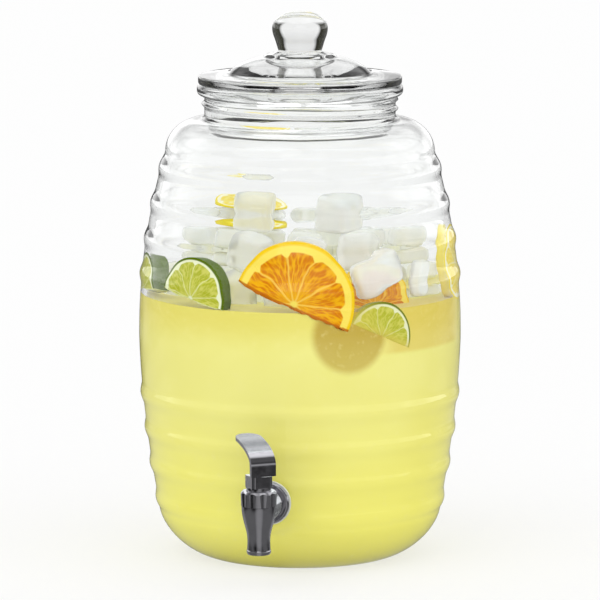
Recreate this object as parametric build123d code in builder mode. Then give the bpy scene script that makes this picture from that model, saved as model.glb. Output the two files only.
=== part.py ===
"""A ribbed glass barrel dispenser for cold drinks, with a lift-off glass lid and a lever spigot.

Millimetres, +Z up. The origin is the centre of the jar's foot, on the surface it stands on. The
spigot points along -Y. The lemonade, ice and fruit inside are pieces of their own.
"""
import os
from math import atan2, cos, degrees, pi, radians, sin

from build123d import *

os.makedirs("parts", exist_ok=True)

# ---------------------------------------------------------------- driving dimensions
# jar: a barrel with four ribs above and four below a plain band
JAR_R = 112.5               # outside radius of the plain band
BAND_Z = 156.2              # middle of the plain band
WALL = 4.2                  # glass thickness of the barrel
FLOOR = 9.0                 # glass thickness of the bottom
FOOT_R = 64.0               # outside radius of the flat ring the jar stands on
FOOT_W = 10.0               # width of that ring
PUSH_UP = 3.5               # how far the bottom is domed up inside the ring
HEEL_H = 33.0               # height of the rounded heel
HEEL_ROUND = 1.25           # exponent of the heel's curve: 1 is a quarter circle
RIB_COUNT = 4               # ribs on each side of the band
RIB_START = 42.3            # first rib, measured from the middle of the band
RIB_PITCH = 25.0
RIB_WIDTH = 17.0
RIB_PROUD = 1.7
TOP_DROP = 15.9             # how much the barrel narrows from the band to the highest rib
TOP_POWER = 2.0
FOOT_DROP = 12.7            # and to the lowest rib
FOOT_POWER = 1.63
SHOULDER_Z = 283.0          # where the shoulder's round begins
SHOULDER_TOP = 305.5        # where the shoulder meets the neck's fillet
NECK_R = 66.5
NECK_FILLET = 3.5
RIM_Z = 330.0               # top of the jar
RIM_R = 71.7                # outside radius of the rim's bead
RIM_H = 7.6                 # height of the rim's bead
RIM_ROUND = 3.0
MOUTH_R = 62.3              # radius of the mouth
NECK_RINGS = ((318.6, 1.9, 2.0), (312.2, 0.8, 1.2))   # height, proud, half height

# lid: one pressed piece with its knob
LID_R = 70.9
LID_EDGE = 5.8              # thickness of the lid's flange
EDGE_ROUND = 1.5
LID_GAP = 0.2               # flange to rim
PLUG_GAP = 1.8              # plug to mouth, all round
PLUG_DEPTH = 10.5
PLUG_WALL = 5.0
DOME_R = 49.0               # where the dome leaves the flange
DOME_TOP_R = 24.6
DOME_RISE = 13.2
LID_WALL = 5.6
KNOB_NECK_R = 15.2
KNOB_R = 19.3
KNOB_H = 28.8               # from the neck's narrowest to the top
LID_LIFT = 160.0            # travel of the lid until it is clear of everything

# spigot: heights are from the table
OUTLET_Z = 24.5             # mouth of the spout
SHANK_Z = 53.5              # middle of the shank
STANDOFF = 35.0             # spout's axis to the face of the jar's seat
NECK_OUT_R = 10.0           # threaded neck that the collar screws on
NECK_WALL = 1.4
OUTLET_R = 6.1
LIP_R = 8.3
WAIST_R = 7.75
BODY_TOP = 33.4             # height of the body's shoulder above the outlet
SEAT_TOP = 21.5             # valve seat's upper edge above the outlet
SEAT_CONE = 3.5             # height of the valve seat's cone
NECK_H = 6.1                # threaded neck above the shoulder
FLANGE_R = 14.4
FLANGE_T = 2.8
HUB_R = 11.6                # hub at the flange
HUB_END_R = 9.6             # hub at the body
SHANK_R = 7.9
SHANK_BORE_R = 4.75
SHANK_TAIL = 6.0            # threaded end beyond the nut
THREAD_PITCH = 2.0
THREAD_DEPTH = 0.6
WASHER_R = 15.2
WASHER_T = 2.2
INNER_WASHER_T = 2.0
PAD_MARGIN = 2.0            # flat seat on the glass beyond the washer
PAD_PROUD = 0.6
HOLE_GAP = 0.6              # hole in the glass to shank
NUT_AF = 24.0
NUT_T = 8.0
COLLAR_WALL = 2.0
COLLAR_FLARE = 0.4
COLLAR_H = 10.3
COLLAR_LIP = 1.8
COLLAR_FLUTES = 10
FLUTE_R = 7.0
FLUTE_DEPTH = 0.7

# valve and lever
BLOCK = 15.0                # bonnet's square block
BLOCK_H = 8.9
BLOCK_ROUND = 2.4
BONNET_FLANGE_IN = 0.4      # bonnet's flange inside the neck's outside radius
BONNET_FLANGE_T = 2.0
BONNET_NECK_IN = 1.6
SLOT_W = 7.0                # slot for the lever's web
SLOT_D = 6.4
SLOT_BACK = 3.2             # how far the slot runs behind the stem
STEM_R = 2.25
STEM_NECK_R = 1.2
HEAD_R = 2.4
HEAD_T = 1.8
PIN_R = 1.2
PIN_OUT = 5.0               # pin in front of the stem
PIN_DROP = 2.9              # pin below the top of the block
LEVER_W = 18.2
LEVER_T = 2.4
WEB_W = 6.4
KNUCKLE_R = 1.5
LEVER_YAW = 36.0            # rest direction of the lever, from the jar's side towards -X
LEVER_TILT = 38.0           # travel of the lever
LEVER_SWING = 288.0         # how far the lever can be swung round the spout
CUP_GAP = 0.9               # cup to the chamber's wall
CUP_H = 7.2
SPRING_R = 4.2
SPRING_WIRE_R = 0.4
SPRING_TURNS = 4.5

# running and seating clearances
FIT = 0.05                  # pin and shaft fits
SLIDE = 0.08                # stem in the bonnet
SEAT_GAP = 0.3              # soft seal or loose piece to its seat
TURN_GAP = 0.2              # between pieces that turn past each other

# contents
LEVEL = 184.0               # surface of the lemonade
FILL_GAP = 0.2              # lemonade to glass
POCKET_GAP = 0.3            # lemonade to whatever floats in it
ICE = 26.0                  # edge of an ice cube
ICE_ROUND = 4.0
SLICE_ROUND = 1.0


# ---------------------------------------------------------------- the jar's shape
def barrel_radius(z):
    """Outside radius of the barrel at height z, without its ribs."""
    span = RIB_START + (RIB_COUNT - 1) * RIB_PITCH
    away = z - BAND_Z
    if away > 0:
        return JAR_R - TOP_DROP * (away / span) ** TOP_POWER
    return JAR_R - FOOT_DROP * (-away / span) ** FOOT_POWER


def rib_height(z):
    """How far the ribs stand proud of the barrel at height z."""
    away = abs(z - BAND_Z)
    for index in range(RIB_COUNT):
        offset = away - RIB_START - index * RIB_PITCH
        if abs(offset) < RIB_WIDTH / 2:
            return RIB_PROUD * cos(pi * offset / RIB_WIDTH) ** 2
    return 0.0


def heel_points(r_low, z_low, r_high, z_high):
    """The rounded heel, from the foot to the start of the barrel."""
    points = []
    for step in range(7):
        turn = pi / 2 * step / 6
        r = r_low + (r_high - r_low) * sin(turn) ** HEEL_ROUND
        z = z_low + (z_high - z_low) * (1 - cos(turn) ** HEEL_ROUND)
        points.append((r, z))
    return points


def barrel_points(inset, rib_share, z_end):
    """The barrel from the heel up to z_end, moved in by inset."""
    step = RIB_PITCH / 6
    count = round((z_end - HEEL_H) / step)
    heights = [HEEL_H + (z_end - HEEL_H) * index / count for index in range(1, count + 1)]
    return [(barrel_radius(z) - inset + rib_share * rib_height(z), z) for z in heights]


def shoulder_points(inset):
    """The shoulder's quarter round, moved in by inset."""
    r_out = barrel_radius(SHOULDER_Z) - inset
    r_in = NECK_R + NECK_FILLET - inset / 2
    rise = SHOULDER_TOP - SHOULDER_Z - inset
    turns = [pi / 2 * step / 5 for step in range(1, 6)]
    return [(r_in + (r_out - r_in) * cos(turn), SHOULDER_Z + rise * sin(turn)) for turn in turns]


def cavity_face(inset, top):
    """Sketch of the jar's inside, moved in by inset and cut off level at top."""
    r_high = barrel_radius(HEEL_H) - WALL - inset
    low = heel_points(FOOT_R - WALL, FLOOR + inset, r_high, HEEL_H)
    side = low + barrel_points(WALL + inset, 0.5, min(top, SHOULDER_Z))
    with BuildSketch(Plane.XZ) as face:
        with BuildLine():
            if top > SHOULDER_Z:
                side += shoulder_points(WALL + inset)
            Spline(*side)
            if top > SHOULDER_Z:
                Line(side[-1], (MOUTH_R, side[-1][1]))
                Line((MOUTH_R, side[-1][1]), (MOUTH_R, top))
                Line((MOUTH_R, top), (0, top))
            else:
                Line(side[-1], (0, top))
            Line((0, top), (0, FLOOR + inset))
            Line((0, FLOOR + inset), side[0])
        make_face()
    return face.sketch


# the flat seat for the spigot stands just proud of the glass round it
SEAT_Y = barrel_radius(SHANK_Z + WASHER_R) + rib_height(SHANK_Z + WASHER_R) + PAD_PROUD
SPOUT_Y = SEAT_Y + STANDOFF
PAD_R = WASHER_R + PAD_MARGIN
PAD_T = SEAT_Y - barrel_radius(SHANK_Z - WASHER_R) + WALL + 0.3
HOLE_R = SHANK_R + HOLE_GAP
SHANK_L = WASHER_T + PAD_T + INNER_WASHER_T + NUT_T + SHANK_TAIL
SHANK_PLANE = Plane(origin=(0, -SEAT_Y, SHANK_Z), x_dir=(1, 0, 0), z_dir=(0, -1, 0))

with BuildPart() as jar:
    with BuildSketch(Plane.XZ):
        outside = heel_points(FOOT_R, 0, barrel_radius(HEEL_H), HEEL_H)
        outside += barrel_points(0, 1, SHOULDER_Z) + shoulder_points(0)
        with BuildLine():
            Spline(*outside)
            neck_low = (NECK_R, SHOULDER_TOP + NECK_FILLET)
            RadiusArc(outside[-1], neck_low, NECK_FILLET)
            Line(neck_low, (NECK_R, RIM_Z))
            Line((NECK_R, RIM_Z), (0, RIM_Z))
            Line((0, RIM_Z), (0, PUSH_UP))
            ThreePointArc((0, PUSH_UP), ((FOOT_R - FOOT_W) * 0.55, PUSH_UP * 0.7), (FOOT_R - FOOT_W, 0))
            Line((FOOT_R - FOOT_W, 0), (FOOT_R, 0))
        make_face()
    revolve(axis=Axis.Z)
    # rim bead and the two rings that stand on the neck
    with BuildSketch(Plane.XZ):
        with Locations(((MOUTH_R + RIM_R) / 2, RIM_Z - RIM_H / 2)):
            RectangleRounded(RIM_R - MOUTH_R, RIM_H, RIM_ROUND)
        for ring_z, ring_proud, ring_half in NECK_RINGS:
            with Locations((NECK_R, ring_z)):
                Ellipse(ring_proud, ring_half)
    revolve(axis=Axis.Z)
    # flat seats outside and inside for the spigot's washers
    with BuildSketch(SHANK_PLANE):
        Circle(PAD_R)
    extrude(amount=-PAD_T)
    add(revolve(cavity_face(0, RIM_Z + 1), axis=Axis.Z, mode=Mode.PRIVATE), mode=Mode.SUBTRACT)
    with BuildSketch(SHANK_PLANE):
        Circle(PAD_R)
    extrude(amount=-PAD_T)
    with BuildSketch(SHANK_PLANE):
        Circle(HOLE_R)
    extrude(amount=2 * PAD_T, both=True, mode=Mode.SUBTRACT)
jar.part.label = "jar"

# ---------------------------------------------------------------- lid
LID_Z = RIM_Z + LID_GAP
FLANGE_TOP = LID_Z + LID_EDGE
PLUG_R = MOUTH_R - PLUG_GAP
DOME_Z = FLANGE_TOP + 2.0
SHOULDER_LID_Z = DOME_Z + DOME_RISE - 2.0
KNOB_Z = SHOULDER_LID_Z + 2.4

with BuildPart() as lid:
    with BuildSketch(Plane.XZ):
        with BuildLine():
            hollow_r = DOME_R - 1.0
            hollow_top = SHOULDER_LID_Z - LID_WALL
            plug_in = PLUG_R - PLUG_WALL
            ThreePointArc((0, hollow_top), (hollow_r * 0.66, LID_Z + 8.2), (hollow_r, LID_Z + 1))
            Polyline(
                (hollow_r, LID_Z + 1),
                (plug_in, LID_Z + 1),
                (plug_in, LID_Z - PLUG_DEPTH),
                (PLUG_R - 1.2, LID_Z - PLUG_DEPTH),
                (PLUG_R, LID_Z),
                (LID_R - EDGE_ROUND, LID_Z),
            )
            RadiusArc((LID_R - EDGE_ROUND, LID_Z), (LID_R, LID_Z + EDGE_ROUND), -EDGE_ROUND)
            Line((LID_R, LID_Z + EDGE_ROUND), (LID_R, FLANGE_TOP - EDGE_ROUND))
            RadiusArc((LID_R, FLANGE_TOP - EDGE_ROUND), (LID_R - EDGE_ROUND, FLANGE_TOP), -EDGE_ROUND)
            Line((LID_R - EDGE_ROUND, FLANGE_TOP), (DOME_R, DOME_Z))
            dome_mid = (0.5 * (DOME_R + DOME_TOP_R) + 2.5, 0.5 * (DOME_Z + SHOULDER_LID_Z) + 2.2)
            ThreePointArc((DOME_R, DOME_Z), dome_mid, (DOME_TOP_R, SHOULDER_LID_Z))
            Line((DOME_TOP_R, SHOULDER_LID_Z), (DOME_TOP_R - 3, KNOB_Z - 0.8))
            knob = [
                (DOME_TOP_R - 3, KNOB_Z - 0.8),
                (KNOB_NECK_R, KNOB_Z + 1.2),
                (KNOB_NECK_R + 1.5, KNOB_Z + 0.27 * KNOB_H),
                (KNOB_R, KNOB_Z + 0.6 * KNOB_H),
                (KNOB_R - 4.4, KNOB_Z + 0.87 * KNOB_H),
                (KNOB_R * 0.45, KNOB_Z + KNOB_H),
            ]
            Spline(*knob)
            Line(knob[-1], (0, KNOB_Z + KNOB_H))
            Line((0, KNOB_Z + KNOB_H), (0, hollow_top))
        make_face()
    revolve(axis=Axis.Z)
lid.part.label = "lid"

# ---------------------------------------------------------------- spigot body
SPOUT_PLANE = Plane.XZ.offset(SPOUT_Y)
SPOUT_AXIS = Axis((0, -SPOUT_Y, 0), (0, 0, 1))
CHAMBER_R = NECK_OUT_R - NECK_WALL
COLLAR_FOOT_R = NECK_OUT_R + COLLAR_WALL
COLLAR_R = COLLAR_FOOT_R + COLLAR_FLARE
BARREL_R = COLLAR_FOOT_R - 0.25         # body just under the collar
BONNET_FLANGE_R = NECK_OUT_R - BONNET_FLANGE_IN
BONNET_NECK_R = NECK_OUT_R - BONNET_NECK_IN
SHOULDER_SPIGOT_Z = OUTLET_Z + BODY_TOP
NECK_TOP = SHOULDER_SPIGOT_Z + NECK_H
SEAT_Z = OUTLET_Z + SEAT_TOP
FLANGE_BACK = WASHER_T
FLANGE_FRONT = WASHER_T + FLANGE_T
COLLAR_ROOM = COLLAR_R + 0.4


def shank_plane(out):
    """Plane across the shank, out mm in front of the jar's seat and facing away from the jar."""
    return SHANK_PLANE.offset(out)


with BuildPart() as spigot_body:
    with BuildSketch(SPOUT_PLANE):
        with BuildLine():
            Line((0, OUTLET_Z), (LIP_R - 0.8, OUTLET_Z))
            RadiusArc((LIP_R - 0.8, OUTLET_Z), (LIP_R - 0.3, OUTLET_Z + 3.2), -2.6)
            Spline(
                (LIP_R - 0.3, OUTLET_Z + 3.2),
                (WAIST_R, OUTLET_Z + 8.0),
                (WAIST_R + 0.3, OUTLET_Z + 13.5),
                (0.5 * (WAIST_R + BARREL_R), OUTLET_Z + 20.5),
                (BARREL_R - 0.3, OUTLET_Z + 28.5),
                (BARREL_R, SHOULDER_SPIGOT_Z),
            )
            Line((BARREL_R, SHOULDER_SPIGOT_Z), (NECK_OUT_R, SHOULDER_SPIGOT_Z))
            Line((NECK_OUT_R, SHOULDER_SPIGOT_Z), (NECK_OUT_R, NECK_TOP))
            Line((NECK_OUT_R, NECK_TOP), (0, NECK_TOP))
            Line((0, NECK_TOP), (0, OUTLET_Z))
        make_face()
    revolve(axis=SPOUT_AXIS)
    # hub from the body to the flange, then the flange with a rounded front
    with BuildSketch(shank_plane(FLANGE_FRONT)):
        Circle(HUB_R)
    with BuildSketch(shank_plane(STANDOFF)):
        Circle(HUB_END_R)
    loft()
    with BuildSketch(SPOUT_PLANE):
        with Locations((0, SHOULDER_SPIGOT_Z - SEAT_GAP)):
            Rectangle(COLLAR_ROOM, NECK_H + COLLAR_H, align=(Align.MIN, Align.MIN))
            Rectangle(NECK_OUT_R, NECK_H + SEAT_GAP, align=(Align.MIN, Align.MIN), mode=Mode.SUBTRACT)
    revolve(axis=SPOUT_AXIS, mode=Mode.SUBTRACT)
    with BuildSketch(shank_plane(FLANGE_BACK)):
        Circle(FLANGE_R)
    extrude(amount=FLANGE_T)
    fillet(
        edges().filter_by(GeomType.CIRCLE).filter_by(lambda e: abs(e.radius - FLANGE_R) < 0.01)
        .sort_by(Axis.Y)[0],
        radius=FLANGE_T * 0.6,
    )
    # shank with its thread as turned rings
    with BuildSketch(shank_plane(FLANGE_BACK)):
        Circle(SHANK_R)
    extrude(amount=-SHANK_L)
    thread_count = int((SHANK_L - FLANGE_BACK - PAD_T - INNER_WASHER_T - NUT_T - 2) / THREAD_PITCH)
    thread_end = SHANK_L - FLANGE_BACK
    for index in range(thread_count):
        with BuildSketch(shank_plane(-(thread_end - 1.5 - index * THREAD_PITCH))):
            Circle(SHANK_R + 1)
            Circle(SHANK_R - THREAD_DEPTH, mode=Mode.SUBTRACT)
        extrude(amount=THREAD_PITCH / 2, mode=Mode.SUBTRACT)
    # inside: spout, valve seat, chamber and inlet
    with BuildSketch(SPOUT_PLANE):
        with BuildLine():
            Polyline(
                (0, OUTLET_Z - 1),
                (OUTLET_R, OUTLET_Z - 1),
                (OUTLET_R, SEAT_Z - SEAT_CONE),
                (CHAMBER_R, SEAT_Z),
                (CHAMBER_R, NECK_TOP + 1),
                (0, NECK_TOP + 1),
                close=True,
            )
        make_face()
    revolve(axis=SPOUT_AXIS, mode=Mode.SUBTRACT)
    with BuildSketch(shank_plane(FLANGE_BACK - SHANK_L - 1)):
        Circle(SHANK_BORE_R)
    extrude(amount=SHANK_L - FLANGE_BACK + STANDOFF + 1, mode=Mode.SUBTRACT)
spigot_body.part.label = "spigot_body"

# ---------------------------------------------------------------- washers and nut on the shank
with BuildPart() as outer_washer:
    with BuildSketch(SHANK_PLANE):
        Circle(WASHER_R)
        Circle(SHANK_R + FIT, mode=Mode.SUBTRACT)
    extrude(amount=WASHER_T)
outer_washer.part.label = "outer_washer"

with BuildPart() as inner_washer:
    with BuildSketch(shank_plane(-PAD_T)):
        Circle(WASHER_R - 1.5)
        Circle(SHANK_R + FIT, mode=Mode.SUBTRACT)
    extrude(amount=-INNER_WASHER_T)
inner_washer.part.label = "inner_washer"

NUT_FACE = -PAD_T - INNER_WASHER_T
with BuildPart() as shank_nut:
    with BuildSketch(shank_plane(NUT_FACE)):
        Circle(WASHER_R - 1.5)
    extrude(amount=-2.0)
    with BuildSketch(shank_plane(NUT_FACE - 2.0)):
        RegularPolygon(NUT_AF / 2, 6, major_radius=False)
    extrude(amount=-(NUT_T - 2.0))
    with BuildSketch(shank_plane(NUT_FACE)):
        Circle(SHANK_R + FIT)
    extrude(amount=-NUT_T, mode=Mode.SUBTRACT)
shank_nut.part.label = "shank_nut"

# ---------------------------------------------------------------- collar nut
COLLAR_TOP = SHOULDER_SPIGOT_Z + COLLAR_H
with BuildPart() as collar_nut:
    with BuildSketch(SPOUT_PLANE):
        with BuildLine():
            Polyline(
                (NECK_OUT_R + FIT, SHOULDER_SPIGOT_Z),
                (COLLAR_FOOT_R, SHOULDER_SPIGOT_Z),
                (COLLAR_R, COLLAR_TOP - 1.6),
                (COLLAR_R - 1.4, COLLAR_TOP),
                (BONNET_NECK_R + TURN_GAP, COLLAR_TOP),
                (BONNET_NECK_R + TURN_GAP, COLLAR_TOP - COLLAR_LIP),
                (NECK_OUT_R + FIT, COLLAR_TOP - COLLAR_LIP),
                close=True,
            )
        make_face()
    revolve(axis=SPOUT_AXIS)
    with BuildSketch(Plane.XY.offset(SHOULDER_SPIGOT_Z - 1)):
        with Locations((0, -SPOUT_Y)):
            with PolarLocations(COLLAR_R + FLUTE_R - FLUTE_DEPTH, COLLAR_FLUTES, start_angle=9):
                Circle(FLUTE_R)
    extrude(amount=COLLAR_H + 2, mode=Mode.SUBTRACT)
collar_nut.part.label = "collar_nut"

# ---------------------------------------------------------------- bonnet, pin and seals
YAW = radians(LEVER_YAW)
FORWARD = (-sin(YAW), cos(YAW), 0)      # the way the lever points
ACROSS = (cos(YAW), sin(YAW), 0)
LEVER_PLANE = Plane(origin=(0, -SPOUT_Y, 0), x_dir=FORWARD, z_dir=ACROSS)
BONNET_SEAT_Z = NECK_TOP + TURN_GAP
BONNET_NECK_Z = BONNET_SEAT_Z + BONNET_FLANGE_T
BLOCK_Z = COLLAR_TOP + 1.4
BLOCK_TOP = BLOCK_Z + BLOCK_H
PIN_Z = BLOCK_TOP - PIN_DROP
SLOT_Z = BLOCK_TOP - SLOT_D
BONNET_FOOT_Z = NECK_TOP - 3.6
GLAND_Z = BONNET_FOOT_Z + 1.9
GLAND_H = 1.7
GLAND_SECTION = 0.75
STEM_GLAND_Z = BONNET_FOOT_Z + 3.2
STEM_GLAND_SECTION = 0.7

with BuildPart() as bonnet:
    with BuildSketch(SPOUT_PLANE):
        with BuildLine():
            Polyline(
                (0, BONNET_FOOT_Z),
                (CHAMBER_R - SEAT_GAP, BONNET_FOOT_Z),
                (CHAMBER_R - SEAT_GAP, BONNET_SEAT_Z),
                (BONNET_FLANGE_R, BONNET_SEAT_Z),
                (BONNET_FLANGE_R, BONNET_NECK_Z),
                (BONNET_NECK_R, BONNET_NECK_Z),
                (BONNET_NECK_R, BLOCK_Z + 1),
                (0, BLOCK_Z + 1),
                close=True,
            )
        make_face()
    revolve(axis=SPOUT_AXIS)
    with BuildSketch(Plane(origin=(0, -SPOUT_Y, BLOCK_Z), x_dir=FORWARD, z_dir=(0, 0, 1))):
        RectangleRounded(BLOCK, BLOCK, BLOCK_ROUND)
    extrude(amount=BLOCK_H)
    # the block's lower corners are turned off to a cone
    with BuildSketch(SPOUT_PLANE):
        with BuildLine():
            Polyline(
                (BONNET_NECK_R, BLOCK_Z - 0.1),
                (BLOCK, BLOCK_Z - 0.1),
                (BLOCK, BLOCK_Z + (BLOCK - BONNET_NECK_R) * 0.9),
                close=True,
            )
        make_face()
    revolve(axis=SPOUT_AXIS, mode=Mode.SUBTRACT)
    # slot for the lever's web, open to the front and the top
    with BuildSketch(Plane(origin=(0, -SPOUT_Y, SLOT_Z), x_dir=FORWARD, z_dir=(0, 0, 1))):
        with Locations((-SLOT_BACK, 0)):
            Rectangle(SLOT_BACK + BLOCK, SLOT_W, align=(Align.MIN, Align.CENTER))
    extrude(amount=SLOT_D + 1, mode=Mode.SUBTRACT)
    with BuildSketch(LEVER_PLANE):
        with Locations((PIN_OUT, PIN_Z)):
            Circle(PIN_R + FIT / 2)
    extrude(amount=BLOCK, both=True, mode=Mode.SUBTRACT)
    # stem's bore and the grooves of the two seal rings
    with BuildSketch(SPOUT_PLANE):
        with Locations((0, BONNET_FOOT_Z - 1)):
            Rectangle(STEM_R + SLIDE, BLOCK_H + 20, align=(Align.MIN, Align.MIN))
        with Locations((0, STEM_GLAND_Z)):
            Rectangle(STEM_R + 1.6, 2 * STEM_GLAND_SECTION + 0.1, align=(Align.MIN, Align.CENTER))
        with Locations((CHAMBER_R - SEAT_GAP - 1.35, GLAND_Z)):
            Rectangle(4, GLAND_H, align=(Align.MIN, Align.CENTER))
    revolve(axis=SPOUT_AXIS, mode=Mode.SUBTRACT)
bonnet.part.label = "bonnet"

with BuildPart() as bonnet_seal:
    with BuildSketch(SPOUT_PLANE):
        with Locations((CHAMBER_R - 0.1 - GLAND_SECTION, GLAND_Z)):
            Circle(GLAND_SECTION)
    revolve(axis=SPOUT_AXIS)
bonnet_seal.part.label = "bonnet_seal"

with BuildPart() as stem_seal:
    with BuildSketch(SPOUT_PLANE):
        with Locations((STEM_R + FIT + STEM_GLAND_SECTION, STEM_GLAND_Z)):
            Circle(STEM_GLAND_SECTION)
    revolve(axis=SPOUT_AXIS)
stem_seal.part.label = "stem_seal"

with BuildPart() as lever_pin:
    with BuildSketch(LEVER_PLANE):
        with Locations((PIN_OUT, PIN_Z)):
            Circle(PIN_R)
    extrude(amount=BLOCK / 2 - 0.2, both=True)
lever_pin.part.label = "lever_pin"

# ---------------------------------------------------------------- stem, seat cup and spring
# the fork lifts the head by PIN_OUT sin(t) + the knuckle's own rise as the lever tilts by t
KNUCKLE_DROP = KNUCKLE_R + 0.1
TILT = radians(LEVER_TILT)
LIFT = PIN_OUT * sin(TILT) + KNUCKLE_DROP * (1 - cos(TILT))
CUP_R = CHAMBER_R - CUP_GAP
CONE_SLOPE = SEAT_CONE / (CHAMBER_R - OUTLET_R)
NOSE_R = CUP_R - 3.0
CUP_RISE = SEAT_GAP / cos(atan2(SEAT_CONE, CHAMBER_R - OUTLET_R))
CUP_SIDE_Z = SEAT_Z + (CUP_R - CHAMBER_R) * CONE_SLOPE + CUP_RISE
NOSE_Z = SEAT_Z + (NOSE_R - CHAMBER_R) * CONE_SLOPE + CUP_RISE
CUP_TOP = CUP_SIDE_Z + CUP_H - 3.2
BARB_Z = NOSE_Z + 1.6
SPRING_LOW = CUP_TOP + 1.4
ROD_TOP = PIN_Z - KNUCKLE_DROP - LIFT - 0.8

with BuildPart() as stem:
    with BuildSketch(SPOUT_PLANE):
        with BuildLine():
            Polyline(
                (0, BARB_Z),
                (STEM_R + 0.9, BARB_Z),
                (STEM_R, BARB_Z + 1.8),
                (STEM_R, CUP_TOP),
                (SPRING_R + 1.2, CUP_TOP),
                (SPRING_R + 1.2, SPRING_LOW),
                (STEM_R, SPRING_LOW),
                (STEM_R, ROD_TOP),
                (STEM_NECK_R, ROD_TOP + 0.8),
                (STEM_NECK_R, PIN_Z),
                (HEAD_R, PIN_Z),
                (HEAD_R, PIN_Z + HEAD_T - 0.6),
                (HEAD_R - 0.6, PIN_Z + HEAD_T),
                (0, PIN_Z + HEAD_T),
                close=True,
            )
        make_face()
    revolve(axis=SPOUT_AXIS)
stem.part.label = "stem"

with BuildPart() as seat_cup:
    with BuildSketch(SPOUT_PLANE):
        with BuildLine():
            Polyline(
                (0, NOSE_Z),
                (NOSE_R, NOSE_Z),
                (CUP_R, CUP_SIDE_Z),
                (CUP_R, CUP_TOP - 1.6),
                (CUP_R - 1.6, CUP_TOP),
                (STEM_R + FIT, CUP_TOP),
                (STEM_R + FIT, BARB_Z + 1.8),
                (STEM_R + 0.9 + FIT, BARB_Z),
                (STEM_R + 0.9 + FIT, BARB_Z - FIT),
                (0, BARB_Z - FIT),
                close=True,
            )
        make_face()
    revolve(axis=SPOUT_AXIS)
seat_cup.part.label = "seat_cup"

spring_height = BONNET_FOOT_Z - SPRING_LOW - 2 * SPRING_WIRE_R - 0.1
spring_pitch = spring_height / SPRING_TURNS
spring_low = SPRING_LOW + SPRING_WIRE_R + 0.05
with BuildPart() as return_spring:
    with BuildLine():
        coil = Helix(spring_pitch, spring_height, SPRING_R, center=(0, -SPOUT_Y, spring_low))
    with BuildSketch(Plane(origin=coil @ 0, z_dir=coil % 0)):
        Circle(SPRING_WIRE_R)
    sweep(path=coil, is_frenet=True)
return_spring.part.label = "return_spring"

# ---------------------------------------------------------------- lever
BACK_U = -BLOCK / 2 - 0.7               # back face of the lever, behind the stem
LEVER_FOOT = BLOCK_TOP + SEAT_GAP
BEND_Z = LEVER_FOOT + 7.0
ARM_LOW = PIN_Z - KNUCKLE_DROP - KNUCKLE_R
WEB_FOOT = BLOCK_TOP + 2.4
WEB_U = HEAD_R + SEAT_GAP
STRAP_U = BACK_U + LEVER_T / 2
PADDLE_REACH = 31.2                     # from the back to the paddle's tip
PADDLE_RISE = 16.6
TIP_ROUND = 7.6


def strap_side(shift):
    """One face of the bent strap, shift mm to the side of its middle line."""
    bend = Spline(
        (STRAP_U, BEND_Z),
        (STRAP_U + 0.08 * PADDLE_REACH, BEND_Z + 0.34 * PADDLE_RISE),
        (STRAP_U + 0.30 * PADDLE_REACH, BEND_Z + 0.64 * PADDLE_RISE),
        (STRAP_U + 0.63 * PADDLE_REACH, BEND_Z + 0.86 * PADDLE_RISE),
        (STRAP_U + PADDLE_REACH, BEND_Z + PADDLE_RISE),
        tangents=((0, 1), (1, 0.17)),
        mode=Mode.PRIVATE,
    )
    points = []
    for step in range(9):
        spot = bend @ (step / 8)
        along = bend % (step / 8)
        points.append((spot.X - along.Y * shift, spot.Y + along.X * shift))
    return points


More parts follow.
